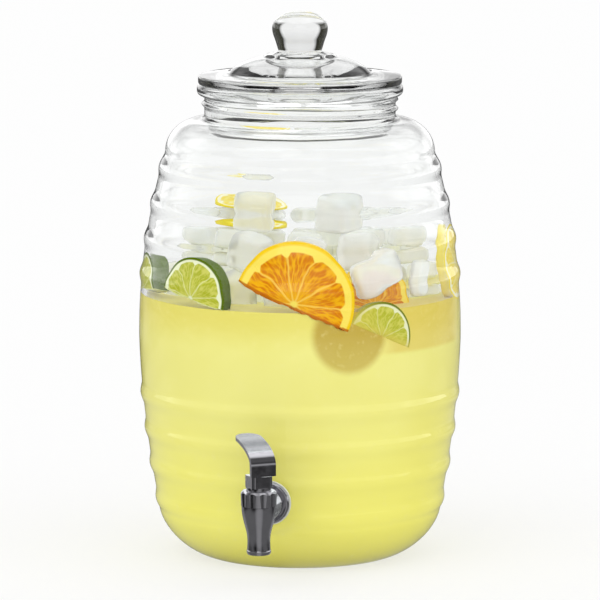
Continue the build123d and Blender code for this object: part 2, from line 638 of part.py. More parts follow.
with BuildPart() as lever:
    # the strap: a straight back, a bend, and a paddle that flattens towards its tip
    with BuildSketch(LEVER_PLANE):
        with BuildLine():
            over = strap_side(LEVER_T / 2)
            under = strap_side(-LEVER_T / 2)
            Spline(*over)
            Line(over[-1], under[-1])
            Spline(*under)
            Polyline(under[0], (under[0][0], LEVER_FOOT), (over[0][0], LEVER_FOOT), over[0])
        make_face()
    extrude(amount=LEVER_W / 2, both=True)
    with BuildSketch(Plane(origin=(0, -SPOUT_Y, LEVER_FOOT - 1), x_dir=FORWARD, z_dir=(0, 0, 1))):
        tip_u = STRAP_U + PADDLE_REACH - TIP_ROUND
        with Locations((tip_u, 0)):
            Rectangle(2 * PADDLE_REACH, LEVER_W, align=(Align.MAX, Align.CENTER))
            Ellipse(TIP_ROUND, LEVER_W / 2)
    extrude(amount=PADDLE_RISE + 20, mode=Mode.INTERSECT)
    # the web under the strap, which goes down into the bonnet's slot round the pin
    with BuildSketch(LEVER_PLANE):
        with BuildLine():
            Polyline(
                (STRAP_U, WEB_FOOT),
                (WEB_U, WEB_FOOT),
                (WEB_U, ARM_LOW),
                (PIN_OUT, ARM_LOW),
                (PIN_OUT + 2.4, PIN_Z),
                (PIN_OUT + 3.2, WEB_FOOT + 4),
                (STRAP_U + 0.50 * PADDLE_REACH, BEND_Z + 0.76 * PADDLE_RISE),
                (STRAP_U + 0.30 * PADDLE_REACH, BEND_Z + 0.62 * PADDLE_RISE),
                (STRAP_U + 0.12 * PADDLE_REACH, BEND_Z + 0.36 * PADDLE_RISE),
                (STRAP_U, BEND_Z),
                close=True,
            )
        make_face()
    extrude(amount=WEB_W / 2, both=True)
    # the fork that lifts the stem by its head
    with BuildSketch(LEVER_PLANE):
        with Locations((0, PIN_Z - KNUCKLE_DROP)):
            Circle(KNUCKLE_R)
        with Locations((0, ARM_LOW)):
            Rectangle(PIN_OUT, 2 * KNUCKLE_R, align=(Align.MIN, Align.MIN))
    extrude(amount=WEB_W / 2, both=True)
    with BuildSketch(Plane(origin=(0, -SPOUT_Y, ARM_LOW - 1), x_dir=FORWARD, z_dir=(0, 0, 1))):
        with Locations((WEB_U + 0.1, 0)):
            Rectangle(WEB_U + 4, 2 * (STEM_NECK_R + TURN_GAP), align=(Align.MAX, Align.CENTER))
    extrude(amount=PIN_Z - ARM_LOW + 1, mode=Mode.SUBTRACT)
    with BuildSketch(LEVER_PLANE):
        with Locations((PIN_OUT, PIN_Z)):
            Circle(PIN_R + FIT)
    extrude(amount=WEB_W, both=True, mode=Mode.SUBTRACT)
lever.part.label = "lever"

# ---------------------------------------------------------------- fruit and ice
# azimuth runs from the spigot's side (-Y) towards +X; a piece's centre is either at a distance from
# the jar's axis, its reach, or at a distance in from the glass, its inset


def wall_plane(azimuth, height, inset=0, reach=None, lean=0, turn=0, roll=0):
    """Plane that faces outwards at an azimuth, leant, turned and rolled about its own axes."""
    turned = radians(azimuth)
    if reach is None:
        reach = barrel_radius(height) - WALL - inset
    outward = Vector(sin(turned), -cos(turned), 0)
    spot = outward * reach + Vector(0, 0, height)
    plane = Plane(origin=spot, x_dir=(cos(turned), sin(turned), 0), z_dir=outward)
    return Plane(plane.location * Location((0, 0, 0), (lean, turn, roll)))


def fruit_slice(grow, radius, thickness, half, **place):
    """A round or half-round slice of citrus; grow makes the pocket that it floats in."""
    with BuildPart() as piece:
        with BuildSketch(wall_plane(**place)):
            Circle(radius + grow)
            if half:
                with Locations((0, -grow)):
                    Rectangle(
                        2 * radius + 4, 2 * radius + 4, align=(Align.CENTER, Align.MAX), mode=Mode.SUBTRACT
                    )
        extrude(amount=thickness / 2 + grow, both=True)
        if not grow:
            fillet(edges().filter_by(GeomType.CIRCLE), radius=SLICE_ROUND)
    return piece.part


def ice_cube(grow, size, **place):
    """An ice cube with melted edges; grow makes the pocket that it floats in."""
    with BuildPart() as piece:
        with BuildSketch(wall_plane(**place)):
            Rectangle(size[0] + 2 * grow, size[1] + 2 * grow)
        extrude(amount=size[2] / 2 + grow, both=True)
        if not grow:
            fillet(edges(), radius=min(ICE_ROUND, 0.3 * min(size)))
    return piece.part


FRUIT = {
    "orange_half_front": dict(
        radius=41.5, thickness=8, half=True, azimuth=9.2, inset=13.2, height=192, lean=-7, roll=-24
    ),
    "orange_half_side": dict(
        radius=34, thickness=6, half=True, azimuth=48, inset=25.2, height=187, lean=-7, roll=-6
    ),
    "orange_round_sunk": dict(
        radius=29, thickness=6, half=False, azimuth=33, inset=21.7, height=158
    ),
    "lime_half_front": dict(
        radius=25, thickness=11, half=True, azimuth=-33, inset=13.5, height=190, lean=-5, turn=14, roll=-12
    ),
    "lime_half_side": dict(
        radius=24, thickness=11, half=True, azimuth=-68, inset=13.2, height=187, lean=-5, roll=8
    ),
    "lime_round_front": dict(
        radius=25, thickness=6, half=False, azimuth=43, inset=10.3, height=160, turn=-10
    ),
    "lemon_round_side": dict(
        radius=26, thickness=6, half=False, azimuth=93, inset=8.3, height=207, lean=-7
    ),
}
ICE_LOW = LEVEL + 6                     # centre of the floating layer
ICE_HIGH = ICE_LOW + ICE + SEAT_GAP
ICE_TOP = ICE_HIGH + ICE + SEAT_GAP
ICE_RINGS = ((26, 4, ICE_LOW, 20), (60, 10, ICE_LOW, 0), (48, 7, ICE_HIGH, 18), (14, 1, ICE_HIGH, 20))
# layers at the back, from one azimuth on: radius, count, height, first azimuth, step
ICE_BACK = ((89.5, 8, ICE_LOW, 118, 20.5), (82, 7, ICE_HIGH, 120, 22))
LEMON_FLAT = dict(
    radius=26, thickness=5, half=False, azimuth=-144, reach=57, height=ICE_HIGH + ICE / 2 + 3, lean=-90
)
FRUIT["lemon_round_top"] = LEMON_FLAT
SHARDS = (
    dict(size=(28, 22, 12), azimuth=48, inset=15.8, height=210, lean=-7, roll=10),
    dict(size=(18, 20, 10), azimuth=70, inset=11.6, height=206, lean=-7, roll=-12),
)

cubes = []
for ring_r, ring_count, ring_z, first in ICE_RINGS:
    for index in range(ring_count):
        spot = dict(azimuth=first + 360 * index / ring_count, reach=ring_r, height=ring_z)
        cubes.append(dict(size=(ICE, ICE, ICE), turn=(index * 5) % 13 - 6, **spot))
for ring_r, ring_count, ring_z, first, step in ICE_BACK:
    for index in range(ring_count):
        spot = dict(azimuth=first + step * index, reach=ring_r, height=ring_z)
        cubes.append(dict(size=(ICE, ICE, ICE), turn=(index * 3) % 5 - 2, **spot))
cubes += [dict(size=(ICE, ICE, ICE), azimuth=azimuth, reach=32, height=ICE_TOP) for azimuth in (69, 275)]
cubes += SHARDS

ice_cubes = Part(children=[ice_cube(0, **cube) for cube in cubes])
ice_cubes.label = "ice_cubes"
slices = {name: fruit_slice(0, **spec) for name, spec in FRUIT.items()}
for name, piece in slices.items():
    piece.label = name

# the lemonade fills the jar to its level, with a pocket round everything that floats in it
sunk_cubes = [cube for cube in cubes if cube["height"] < LEVEL + ICE]
pockets = [ice_cube(POCKET_GAP, **cube) for cube in sunk_cubes]
pockets += [fruit_slice(POCKET_GAP, **spec) for spec in FRUIT.values()]
with BuildPart() as lemonade:
    revolve(cavity_face(FILL_GAP, LEVEL), axis=Axis.Z)
    with BuildSketch(SHANK_PLANE):
        Circle(PAD_R + FILL_GAP)
    extrude(amount=-(PAD_T + INNER_WASHER_T + NUT_T + FILL_GAP), mode=Mode.SUBTRACT)
    with BuildSketch(SHANK_PLANE):
        Circle(SHANK_R + FILL_GAP)
    extrude(amount=-(SHANK_L + FILL_GAP), mode=Mode.SUBTRACT)
    for pocket in pockets:
        add(pocket, mode=Mode.SUBTRACT)
lemonade.part.label = "lemonade"

# ---------------------------------------------------------------- files
built = (
    jar, lid, spigot_body, outer_washer, inner_washer, shank_nut, collar_nut, bonnet, bonnet_seal,
    stem_seal, lever_pin, stem, seat_cup, return_spring, lever, lemonade,
)
pieces = [builder.part for builder in built] + [ice_cubes] + list(slices.values())
for piece in pieces:
    export_step(piece, f"parts/{piece.label}.step")
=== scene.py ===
from math import atan2, cos, exp, hypot, pi, radians, sin

import bmesh
import bpy
from mathutils import Matrix, Vector, noise


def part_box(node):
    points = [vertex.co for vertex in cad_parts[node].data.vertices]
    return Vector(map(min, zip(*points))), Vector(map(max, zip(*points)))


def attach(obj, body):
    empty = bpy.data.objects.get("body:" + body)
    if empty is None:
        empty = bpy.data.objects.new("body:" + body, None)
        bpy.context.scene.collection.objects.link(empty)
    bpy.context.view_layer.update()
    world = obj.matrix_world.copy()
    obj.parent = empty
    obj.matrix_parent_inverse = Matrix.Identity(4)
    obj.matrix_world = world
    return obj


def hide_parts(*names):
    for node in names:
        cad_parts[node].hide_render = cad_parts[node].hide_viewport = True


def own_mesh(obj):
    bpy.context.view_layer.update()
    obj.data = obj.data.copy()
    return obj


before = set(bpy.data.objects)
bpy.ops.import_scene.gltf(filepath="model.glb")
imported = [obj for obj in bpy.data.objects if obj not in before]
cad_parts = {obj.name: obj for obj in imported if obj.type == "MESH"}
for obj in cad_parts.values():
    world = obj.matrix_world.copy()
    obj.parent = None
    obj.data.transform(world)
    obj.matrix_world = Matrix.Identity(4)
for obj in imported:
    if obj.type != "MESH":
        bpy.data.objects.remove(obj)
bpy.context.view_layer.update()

MM = 0.001

# ---------------------------------------------------------------- camera
# A long lens 3.5 m off, above the lid and to the right of the spigot, so that the jar is seen almost
# square on. From that height the lid shows a little of its top.
CAMERA_AZIMUTH = radians(11.4)
CAMERA_AWAY = 3.5
CAMERA_HEIGHT = 0.691
CAMERA_AIM = Vector((0, 0, 0.178))
CAMERA_VIEW = radians(6.79)

camera = bpy.data.objects.new("camera", bpy.data.cameras.new("camera"))
camera.data.angle = CAMERA_VIEW
camera.data.clip_end = 100
camera.location = (CAMERA_AWAY * sin(CAMERA_AZIMUTH), -CAMERA_AWAY * cos(CAMERA_AZIMUTH), CAMERA_HEIGHT)
camera.rotation_euler = (CAMERA_AIM - camera.location).to_track_quat("-Z", "Y").to_euler()
bpy.context.scene.collection.objects.link(camera)
bpy.context.scene.camera = camera
bpy.context.scene.view_settings.view_transform = "Standard"


# ---------------------------------------------------------------- studio
# A wide white floor under a white sky, one broad soft lamp at the upper left and a weaker one at the
# right. Glass shows the white floor and a sky with lit panels. What is shiny mirrors a dim floor with
# a streak on it, a backdrop that is dimmer in front, and a bright ceiling behind.
FLOOR_RADIUS = 16
KEY_LAMP = dict(turn=(radians(38), 0, radians(-30)), energy=0.58, spread=radians(50))
FILL_LAMP = dict(turn=(radians(50), 0, radians(62)), energy=0.45, spread=radians(60))
SKY_ON_MATTE = 0.89         # the sky's light on matte surfaces
PANELS = 3                  # lit panels round the sky
PANEL_AZIMUTH = radians(14)
PANEL_SHINE = 0.9           # the panels' light in mirrors
PANEL_THROUGH = 0.30        # and their light through glass
FRONT_DIMNESS = 0.35        # what is left of the backdrop in front, in mirrors
CEILING_LIGHT = 0.8         # the ceiling behind, in mirrors
FLOOR_WHITE = 0.62          # share of plain white in the floor as it is seen
STREAK_Y = -0.14            # the streak on the floor spreads from near the spout
STREAK_NARROWNESS = 2.6


def add(tree, kind, sockets=None, **settings):
    """A shader node with its settings; a socket takes a number, a colour or another node's output."""
    made = tree.nodes.new(kind)
    for name, value in settings.items():
        setattr(made, name, value)
    for name, value in (sockets or {}).items():
        if isinstance(value, bpy.types.NodeSocket):
            tree.links.new(value, made.inputs[name])
        else:
            made.inputs[name].default_value = value
    return made


def calc(tree, operation, *values):
    """A Math node's result."""
    return add(tree, "ShaderNodeMath", dict(enumerate(values)), operation=operation).outputs[0]


def rise(tree, value, low, high, start=0.0, end=1.0):
    """start below low, end above high, and a smooth change between."""
    sockets = {"Value": value, "From Min": low, "From Max": high, "To Min": start, "To Max": end}
    return add(tree, "ShaderNodeMapRange", sockets, interpolation_type="SMOOTHSTEP").outputs[0]


def blend(tree, share, first, second):
    """A colour between two colours."""
    made = add(tree, "ShaderNodeMix", data_type="RGBA")
    for index, value in ((0, share), (6, first), (7, second)):
        if isinstance(value, bpy.types.NodeSocket):
            tree.links.new(value, made.inputs[index])
        else:
            made.inputs[index].default_value = value
    return made.outputs[2]


def tone(red, green, blue):
    """A colour from the eight-bit values that a screen shows."""
    def linear(value):
        value /= 255
        return value / 12.92 if value <= 0.04045 else ((value + 0.055) / 1.055) ** 2.4
    return (linear(red), linear(green), linear(blue), 1)


def noise_value(tree, place, scale, detail):
    """A noise texture's value."""
    sockets = {"Vector": place, "Scale": scale, "Detail": detail}
    return add(tree, "ShaderNodeTexNoise", sockets).outputs["Fac"]


def new_paint(name):
    """A material with an empty node tree, and that tree."""
    paint = bpy.data.materials.new(name)
    paint.use_nodes = True
    paint.node_tree.nodes.clear()
    return paint, paint.node_tree


def mirrored(tree, path):
    """One for a ray off a shiny surface.

    A ray that went through glass counts as glossy too, so it is left out."""
    through = calc(tree, "SUBTRACT", 1.0, path.outputs["Is Transmission Ray"])
    return calc(tree, "MULTIPLY", path.outputs["Is Glossy Ray"], through)


def sky():
    """Plain white for what is matte, panels for glass, and a backdrop and ceiling too for mirrors."""
    world = bpy.data.worlds.new("sky")
    bpy.context.scene.world = world
    world.use_nodes = True
    tree = world.node_tree
    tree.nodes.clear()
    path = add(tree, "ShaderNodeLightPath")
    way_out = add(tree, "ShaderNodeTexCoord").outputs["Generated"]
    way = add(tree, "ShaderNodeSeparateXYZ", {0: way_out})
    up = way.outputs["Z"]
    back = way.outputs["Y"]
    round_jar = calc(tree, "ARCTAN2", way.outputs["X"], calc(tree, "MULTIPLY", back, -1.0))
    turned = calc(tree, "MULTIPLY", calc(tree, "SUBTRACT", round_jar, PANEL_AZIMUTH), float(PANELS))
    panel = rise(tree, calc(tree, "COSINE", turned), 0.35, 0.6)
    panel = calc(tree, "MULTIPLY", panel, rise(tree, up, 0.28, 0.36))
    panel = calc(tree, "MULTIPLY", panel, rise(tree, up, 0.62, 0.72, 1.0, 0.0))
    overhead = rise(tree, up, 0.80, 0.90)
    lit = calc(tree, "MAXIMUM", panel, overhead)
    backdrop = rise(tree, up, 0.20, 0.30, 1.5, 0.42)
    clouds = noise_value(tree, way_out, 2.6, 1.0)
    backdrop = calc(tree, "MULTIPLY", backdrop, rise(tree, back, -0.2, 0.2, FRONT_DIMNESS, 1.0))
    high_up = rise(tree, up, 0.30, 0.45)
    ceiling = calc(tree, "MULTIPLY", high_up, rise(tree, back, 0.05, 0.3, 0.0, CEILING_LIGHT))
    backdrop = calc(tree, "ADD", backdrop, ceiling)
    shine = calc(tree, "ADD", backdrop, calc(tree, "MULTIPLY", lit, PANEL_SHINE))
    shine = calc(tree, "MULTIPLY", shine, rise(tree, clouds, 0.35, 0.6, 0.55, 1.1))
    through = calc(tree, "MULTIPLY", lit, PANEL_THROUGH)
    through = calc(tree, "ADD", through, rise(tree, up, 0.0, 0.5, 0.98, 0.75))
    level = calc(tree, "MULTIPLY", path.outputs["Is Diffuse Ray"], SKY_ON_MATTE)
    level = calc(tree, "MAXIMUM", level, path.outputs["Is Camera Ray"])
    level = calc(tree, "MAXIMUM", level, calc(tree, "MULTIPLY", mirrored(tree, path), shine))
    seen_through = calc(tree, "MULTIPLY", path.outputs["Is Transmission Ray"], through)
    level = calc(tree, "MAXIMUM", level, seen_through)
    light = add(tree, "ShaderNodeBackground", {"Color": (1, 1, 1, 1), "Strength": level})
    add(tree, "ShaderNodeOutputWorld", {"Surface": light.outputs[0]})


def floor_paint():
    """White where it is seen directly or through glass, dim with a streak where it is mirrored."""
    paint, tree = new_paint("studio_floor")
    path = add(tree, "ShaderNodeLightPath")
    lit = add(tree, "ShaderNodeBsdfDiffuse", {"Color": (0.86, 0.86, 0.86, 1)})
    white = add(tree, "ShaderNodeEmission", {"Color": (1, 1, 1, 1), "Strength": 1.0})
    clear_view = calc(tree, "MAXIMUM", path.outputs["Is Camera Ray"], path.outputs["Is Transmission Ray"])
    share = calc(tree, "MULTIPLY", clear_view, FLOOR_WHITE)
    plain = add(tree, "ShaderNodeMixShader", {0: share, 1: lit.outputs[0], 2: white.outputs[0]})
    place = add(tree, "ShaderNodeTexCoord").outputs["Object"]
    clouds = noise_value(tree, place, 2.2, 1.0)
    dimness = rise(tree, clouds, 0.38, 0.62, 0.05, 0.24)
    parts = add(tree, "ShaderNodeSeparateXYZ", {0: place})
    forward = calc(tree, "SUBTRACT", STREAK_Y, parts.outputs["Y"])
    around = calc(tree, "ARCTAN2", parts.outputs["X"], forward)
    around = calc(tree, "SUBTRACT", around, PANEL_AZIMUTH)
    streak = calc(tree, "COSINE", calc(tree, "MULTIPLY", around, STREAK_NARROWNESS))
    dimness = calc(tree, "ADD", dimness, rise(tree, streak, 0.1, 1.0, -0.03, 0.2))
    dim = add(tree, "ShaderNodeEmission", {"Color": (1, 1, 1, 1), "Strength": dimness})
    mixed = add(
        tree, "ShaderNodeMixShader",
        {0: mirrored(tree, path), 1: plain.outputs[0], 2: dim.outputs[0]},
    )
    add(tree, "ShaderNodeOutputMaterial", {"Surface": mixed.outputs[0]})
    return paint


def put_in_scene(name, shape, paints=(), smooth=True):
    """An object with that mesh; the bmesh is used up."""
    mesh = bpy.data.meshes.new(name)
    shape.to_mesh(mesh)
    shape.free()
    for paint in paints:
        mesh.materials.append(paint)
    for face in mesh.polygons:
        face.use_smooth = smooth
    made = bpy.data.objects.new(name, mesh)
    bpy.context.scene.collection.objects.link(made)
    return made


def lamp(name, turn, energy, spread):
    """A broad lamp that no mirror shows."""
    made = bpy.data.objects.new(name, bpy.data.lights.new(name, "SUN"))
    made.data.energy = energy
    made.data.angle = spread
    made.rotation_euler = turn
    made.visible_glossy = False
    bpy.context.scene.collection.objects.link(made)


sky()
lamp("key_lamp", **KEY_LAMP)
lamp("fill_lamp", **FILL_LAMP)
ground = bmesh.new()
bmesh.ops.create_circle(ground, cap_ends=True, segments=96, radius=FLOOR_RADIUS)
floor = put_in_scene("studio_floor", ground, [floor_paint()], smooth=False)


# ---------------------------------------------------------------- jar
# One piece of clear pressed glass: a foot ring, four ribs above and four below a plain band, a
# rolled shoulder, and a neck with a coarse thread under its beaded rim.
jar_low, jar_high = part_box("jar")
JAR_R = (jar_high.x - jar_low.x) / 2
RIM_Z = jar_high.z
BAND_Z = 156.2 * MM
WALL = 4.2 * MM
BOTTOM = 9.0 * MM
FOOT_R = 64.0 * MM
FOOT_W = 10.0 * MM
PUSH_UP = 3.5 * MM
HEEL_H = 33.0 * MM
HEEL_ROUND = 1.25
FOOT_CURVE = 1.63           # power of the barrel's curve below the band
RIB_START = 42.3 * MM
RIB_PITCH = 25.0 * MM
RIB_WIDTH = 17.0 * MM
RIB_PROUD = 1.7 * MM
RIB_COUNT = 4
TOP_DROP = 15.9 * MM
FOOT_DROP = 12.7 * MM
SHOULDER_Z = 283.0 * MM
SHOULDER_TOP = 305.5 * MM
NECK_R = 66.5 * MM
NECK_FILLET = 3.5 * MM
RIM_R = 71.7 * MM
RIM_H = 7.6 * MM
MOUTH_R = 62.3 * MM
THREAD_Z = 320.2 * MM
THREAD_PITCH = 6.4 * MM
THREAD_TURNS = 1.25
THREAD_PROUD = 1.9 * MM
THREAD_W = 1.35 * MM
THREAD_START = 0.16         # of a turn round from the front
THREAD_FADE = 0.05          # of a turn, at either end
BEAD_R = 3.2 * MM
MOUTH_ROUND = 2.2 * MM
WAVE = 0.10 * MM            # unevenness of the glass
WAVE_SCALE = 60
ROW_H = 1.8 * MM
ROUND_STEPS = 192


def barrel_radius(z):
    """The outer radius at a height, without the ribs."""
    away = (z - BAND_Z) / (RIB_START + (RIB_COUNT - 1) * RIB_PITCH)
    return JAR_R - TOP_DROP * away ** 2 if away > 0 else JAR_R - FOOT_DROP * (-away) ** FOOT_CURVE


def rib_height(z):
    """How far the ribs stand out at a height."""
    for index in range(RIB_COUNT):
        off = abs(z - BAND_Z) - RIB_START - index * RIB_PITCH
        if abs(off) < RIB_WIDTH / 2:
            return RIB_PROUD * cos(pi * off / RIB_WIDTH) ** 2
    return 0.0


def wall_line(inset, rib_share, low_r, low_z, top):
    """Outline of the jar's outer or inner side as (r, z), from its foot up to height top."""
    line = []
    heel_r = barrel_radius(HEEL_H) - inset
    for step in range(17):
        turn = pi / 2 * step / 16
        outwards = sin(turn) ** HEEL_ROUND
        rising = 1 - max(cos(turn), 0) ** HEEL_ROUND
        line.append((low_r + (heel_r - low_r) * outwards, low_z + (HEEL_H - low_z) * rising))
    end = min(top, SHOULDER_Z)
    count = round((end - HEEL_H) / ROW_H)
    for index in range(1, count + 1):
        z = HEEL_H + (end - HEEL_H) * index / count
        line.append((barrel_radius(z) - inset + rib_share * rib_height(z), z))
    if top > SHOULDER_Z:
        out_r = barrel_radius(SHOULDER_Z) - inset
        in_r = NECK_R + NECK_FILLET - inset / 2
        for step in range(1, 19):
            turn = pi / 2 * step / 18
            height = (SHOULDER_TOP - SHOULDER_Z - inset) * sin(turn)
            line.append((in_r + (out_r - in_r) * cos(turn), SHOULDER_Z + height))
    return line


def arc(middle, radius, start, end, steps):
    """Points of an arc in an outline, with its angles in degrees from the outline's r axis."""
    turns = [radians(start + (end - start) * step / steps) for step in range(steps + 1)]
    return [(middle[0] + radius * cos(turn), middle[1] + radius * sin(turn)) for turn in turns]


def turned(outline, steps=ROUND_STEPS, axis=(0, 0), sweep=2 * pi):
    """A shape turned about an upright axis from an outline of (r, z) points."""
    shape = bmesh.new()
    spots = [shape.verts.new((axis[0] + r, axis[1], z)) for r, z in outline]
    edges = [shape.edges.new(pair) for pair in zip(spots, spots[1:])]
    whole = abs(sweep - 2 * pi) < 1e-6
    bmesh.ops.spin(
        shape, geom=spots + edges, cent=(axis[0], axis[1], 0), axis=(0, 0, 1), angle=sweep, steps=steps,
        use_merge=whole, use_duplicate=False,
    )
    bmesh.ops.remove_doubles(shape, verts=shape.verts, dist=1e-6)
    bmesh.ops.recalc_face_normals(shape, faces=shape.faces)
    return shape


def clear_glass(name, thick=()):
    """Clear glass with painted shade where it is seen edge on, standing in for the dark edges that
    reflections give it, and which lets lamplight through.

    thick lists bands where the glass is so thick that the painted shade is near black and starts sooner. Each
    has its lower and upper height, its least radius, and how edge on the glass is where the painted shade
    starts and ends."""
    paint, tree = new_paint(name)
    tint = (0.99, 0.998, 0.994, 1)
    # painted shade where the glass is seen edge on, in place of dark reflections
    deep = (0.05, 0.051, 0.05, 1)
    # near black painted shade for the thick bands
    painted_band_shade = (0.002, 0.002, 0.001, 1)
    facing = add(tree, "ShaderNodeLayerWeight", {"Blend": 0.5}).outputs["Facing"]
    colour = blend(tree, rise(tree, facing, 0.90, 1.0), tint, deep)
    place = add(tree, "ShaderNodeSeparateXYZ", {0: add(tree, "ShaderNodeTexCoord").outputs["Object"]})
    normal = add(tree, "ShaderNodeNewGeometry").outputs["Normal"]
    normal = add(tree, "ShaderNodeSeparateXYZ", {0: normal})
    # one where the surface stands upright, nought where it lies flat
    side_on = rise(tree, calc(tree, "ABSOLUTE", normal.outputs["Z"]), 0.45, 0.75, 1.0, 0.0)
    square = [calc(tree, "POWER", place.outputs[axis], 2.0) for axis in "XY"]
    radius = calc(tree, "SQRT", calc(tree, "ADD", *square))
    # each thick band gets a deeper painted shade, and sooner
    for low, high, least, band_start, band_end in thick:
        share = side_on
        for limit in (
            calc(tree, "GREATER_THAN", place.outputs["Z"], low),
            calc(tree, "LESS_THAN", place.outputs["Z"], high),
            calc(tree, "GREATER_THAN", radius, least),
            rise(tree, facing, band_start, band_end, 0.1, 1.0),
        ):
            share = calc(tree, "MULTIPLY", share, limit)
        colour = blend(tree, share, colour, painted_band_shade)
    glass = add(
        tree, "ShaderNodeBsdfPrincipled",
        {"Base Color": colour, "Roughness": 0.0, "IOR": 1.5, "Transmission Weight": 1.0},
    )
    open_way = add(tree, "ShaderNodeBsdfTransparent", {"Color": (0.97, 0.98, 0.975, 1)})
    path = add(tree, "ShaderNodeLightPath")
    # shadows, soft light and mirrors outside the glass see straight through it
    unlit = calc(tree, "MAXIMUM", path.outputs["Is Shadow Ray"], path.outputs["Is Diffuse Ray"])
    outside = calc(tree, "LESS_THAN", path.outputs["Transmission Depth"], 0.5)
    outside = calc(tree, "MULTIPLY", path.outputs["Is Glossy Ray"], outside)
    unlit = calc(tree, "MAXIMUM", unlit, outside)
    mixed = add(tree, "ShaderNodeMixShader", {0: unlit, 1: glass.outputs[0], 2: open_way.outputs[0]})
    add(tree, "ShaderNodeOutputMaterial", {"Surface": mixed.outputs[0]})
    return paint


# the seat for the spigot is a flat on the outside of the wall, blended into the ribs round it
washer_low, washer_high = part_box("outer_washer")
SEAT_Y = washer_high.y
SHANK_Z = (washer_low.z + washer_high.z) / 2
SEAT_R = (washer_high.z - washer_low.z) / 2 + 2 * MM
SEAT_BLEND = 9 * MM
WALL_HOLE_R = 8.5 * MM


def flatten_seat(shape, outer):
    """Moves the outside of the wall to the seat's plane; outer gives the least radius at a height."""
    for spot in shape.verts:
        away = hypot(spot.co.x, spot.co.z - SHANK_Z)
        on_front = spot.co.y < -0.05 and hypot(spot.co.x, spot.co.y) > outer(spot.co.z)
        if on_front and away < SEAT_R + SEAT_BLEND:
            share = min(1, max(0, (SEAT_R + SEAT_BLEND - away) / SEAT_BLEND))
            share = share * share * (3 - 2 * share)
            spot.co.y += (SEAT_Y - spot.co.y) * share


def jar_outline():
    """The whole jar, from the middle underneath, up its outside and down its inside."""
    line = [(0, PUSH_UP)]
    ring_in = FOOT_R - FOOT_W
    line += [(ring_in * share, PUSH_UP * (1 - share ** 2)) for share in (0.25, 0.5, 0.75)]
    line += [(ring_in, 0.2 * MM), (ring_in + 1 * MM, 0), (FOOT_R - 1 * MM, 0)]
    line += wall_line(0, 1, FOOT_R, 0, RIM_Z)
    turn_in = (NECK_R + NECK_FILLET, SHOULDER_TOP + NECK_FILLET)
    line += arc(turn_in, NECK_FILLET, 260, 180, 5)
    rim_low = RIM_Z - RIM_H
    neck_h = rim_low - 2 * MM - turn_in[1]
    rows = round(neck_h / (0.6 * MM))
    line += [(NECK_R, turn_in[1] + neck_h * row / rows) for row in range(1, rows + 1)]
    line += arc((RIM_R - BEAD_R, rim_low + BEAD_R), BEAD_R, -85, 0, 7)
    line += arc((RIM_R - BEAD_R, RIM_Z - BEAD_R), BEAD_R, 8, 90, 7)
    line += arc((MOUTH_R + MOUTH_ROUND, RIM_Z - MOUTH_ROUND), MOUTH_ROUND, 90, 180, 5)
    inside = wall_line(WALL, 0.5, FOOT_R - WALL, BOTTOM, RIM_Z)
    shoulder_in = inside[-1][1]
    line += [(MOUTH_R, RIM_Z - RIM_H / 2), (MOUTH_R, shoulder_in + 3 * MM)]
    line += [(MOUTH_R + 0.6 * MM, shoulder_in)]
    line += reversed(inside)
    line += [(FOOT_R * share, BOTTOM) for share in (0.8, 0.5, 0.25)] + [(0, BOTTOM)]
    return line


def thread(shape):
    """Raises the outside of the neck along a thread that runs in and out again."""
    for spot in shape.verts:
        x, y, z = spot.co
        radius = hypot(x, y)
        if radius > NECK_R - 0.1 * MM and SHOULDER_TOP + 2 * MM < z < RIM_Z - RIM_H - 1 * MM:
            around = (atan2(x, -y) / (2 * pi) - THREAD_START) % 1
            proud = 0.0
            for turn in (0, 1):
                along = around + turn
                if along < THREAD_TURNS:
                    fade = min(1, along / THREAD_FADE, (THREAD_TURNS - along) / THREAD_FADE)
                    off = (z - (THREAD_Z - THREAD_PITCH * along)) / THREAD_W
                    proud = max(proud, fade * THREAD_PROUD * exp(-off * off))
            spot.co.x *= (radius + proud) / radius
            spot.co.y *= (radius + proud) / radius


def unevenness(shape, amount, scale):
    """Moves every point a little in or out, as blown glass is never quite true."""
    for spot in shape.verts:
        radius = hypot(spot.co.x, spot.co.y)
        if radius > 10 * MM and spot.co.z > 2 * MM:
            push = amount * noise.noise(spot.co * scale)
            spot.co.x *= (radius + push) / radius
            spot.co.y *= (radius + push) / radius


jar_shape = turned(jar_outline())
flatten_seat(jar_shape, lambda z: barrel_radius(z) - WALL / 2)
thread(jar_shape)
unevenness(jar_shape, WAVE, WAVE_SCALE)
jar_glass = clear_glass("jar_glass")
jar = put_in_scene("glass_jar", jar_shape, [jar_glass])
# the hole in the wall for the spigot's shank
across_wall = Matrix.Translation((0, SEAT_Y, SHANK_Z)) @ Matrix.Rotation(radians(90), 4, "X")
drill_shape = bmesh.new()
bmesh.ops.create_cone(
    drill_shape, cap_ends=True, segments=64, radius1=WALL_HOLE_R, radius2=WALL_HOLE_R, depth=30 * MM,
    matrix=across_wall)
drill = put_in_scene("drill", drill_shape)
cut = jar.modifiers.new("wall_hole", "BOOLEAN")
cut.object = drill
cut.operation = "DIFFERENCE"
cut.solver = "EXACT"
drilled = bpy.data.meshes.new_from_object(jar.evaluated_get(bpy.context.evaluated_depsgraph_get()))
jar.modifiers.clear()
jar.data = drilled
bpy.data.objects.remove(drill)
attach(jar, "jar")
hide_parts("jar")


# ---------------------------------------------------------------- lid
# Pressed glass, thick at its banded edge, with a stepped dome and a solid knob. It lies loose on the
# rim, and its short plug keeps it in the mouth.
lid_low, lid_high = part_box("lid")
LID_TOP = lid_high.z
LID_R = (lid_high.x - lid_low.x) / 2
LID_Z = RIM_Z + 0.2 * MM
LID_EDGE = 5.8 * MM
PLUG_R = 60.5 * MM
PLUG_WALL = 5.0 * MM
EDGE_ROUND = 1.5 * MM
DOME_R = 49.0 * MM
DOME_TOP_R = 24.6 * MM
KNOB_R = 19.3 * MM


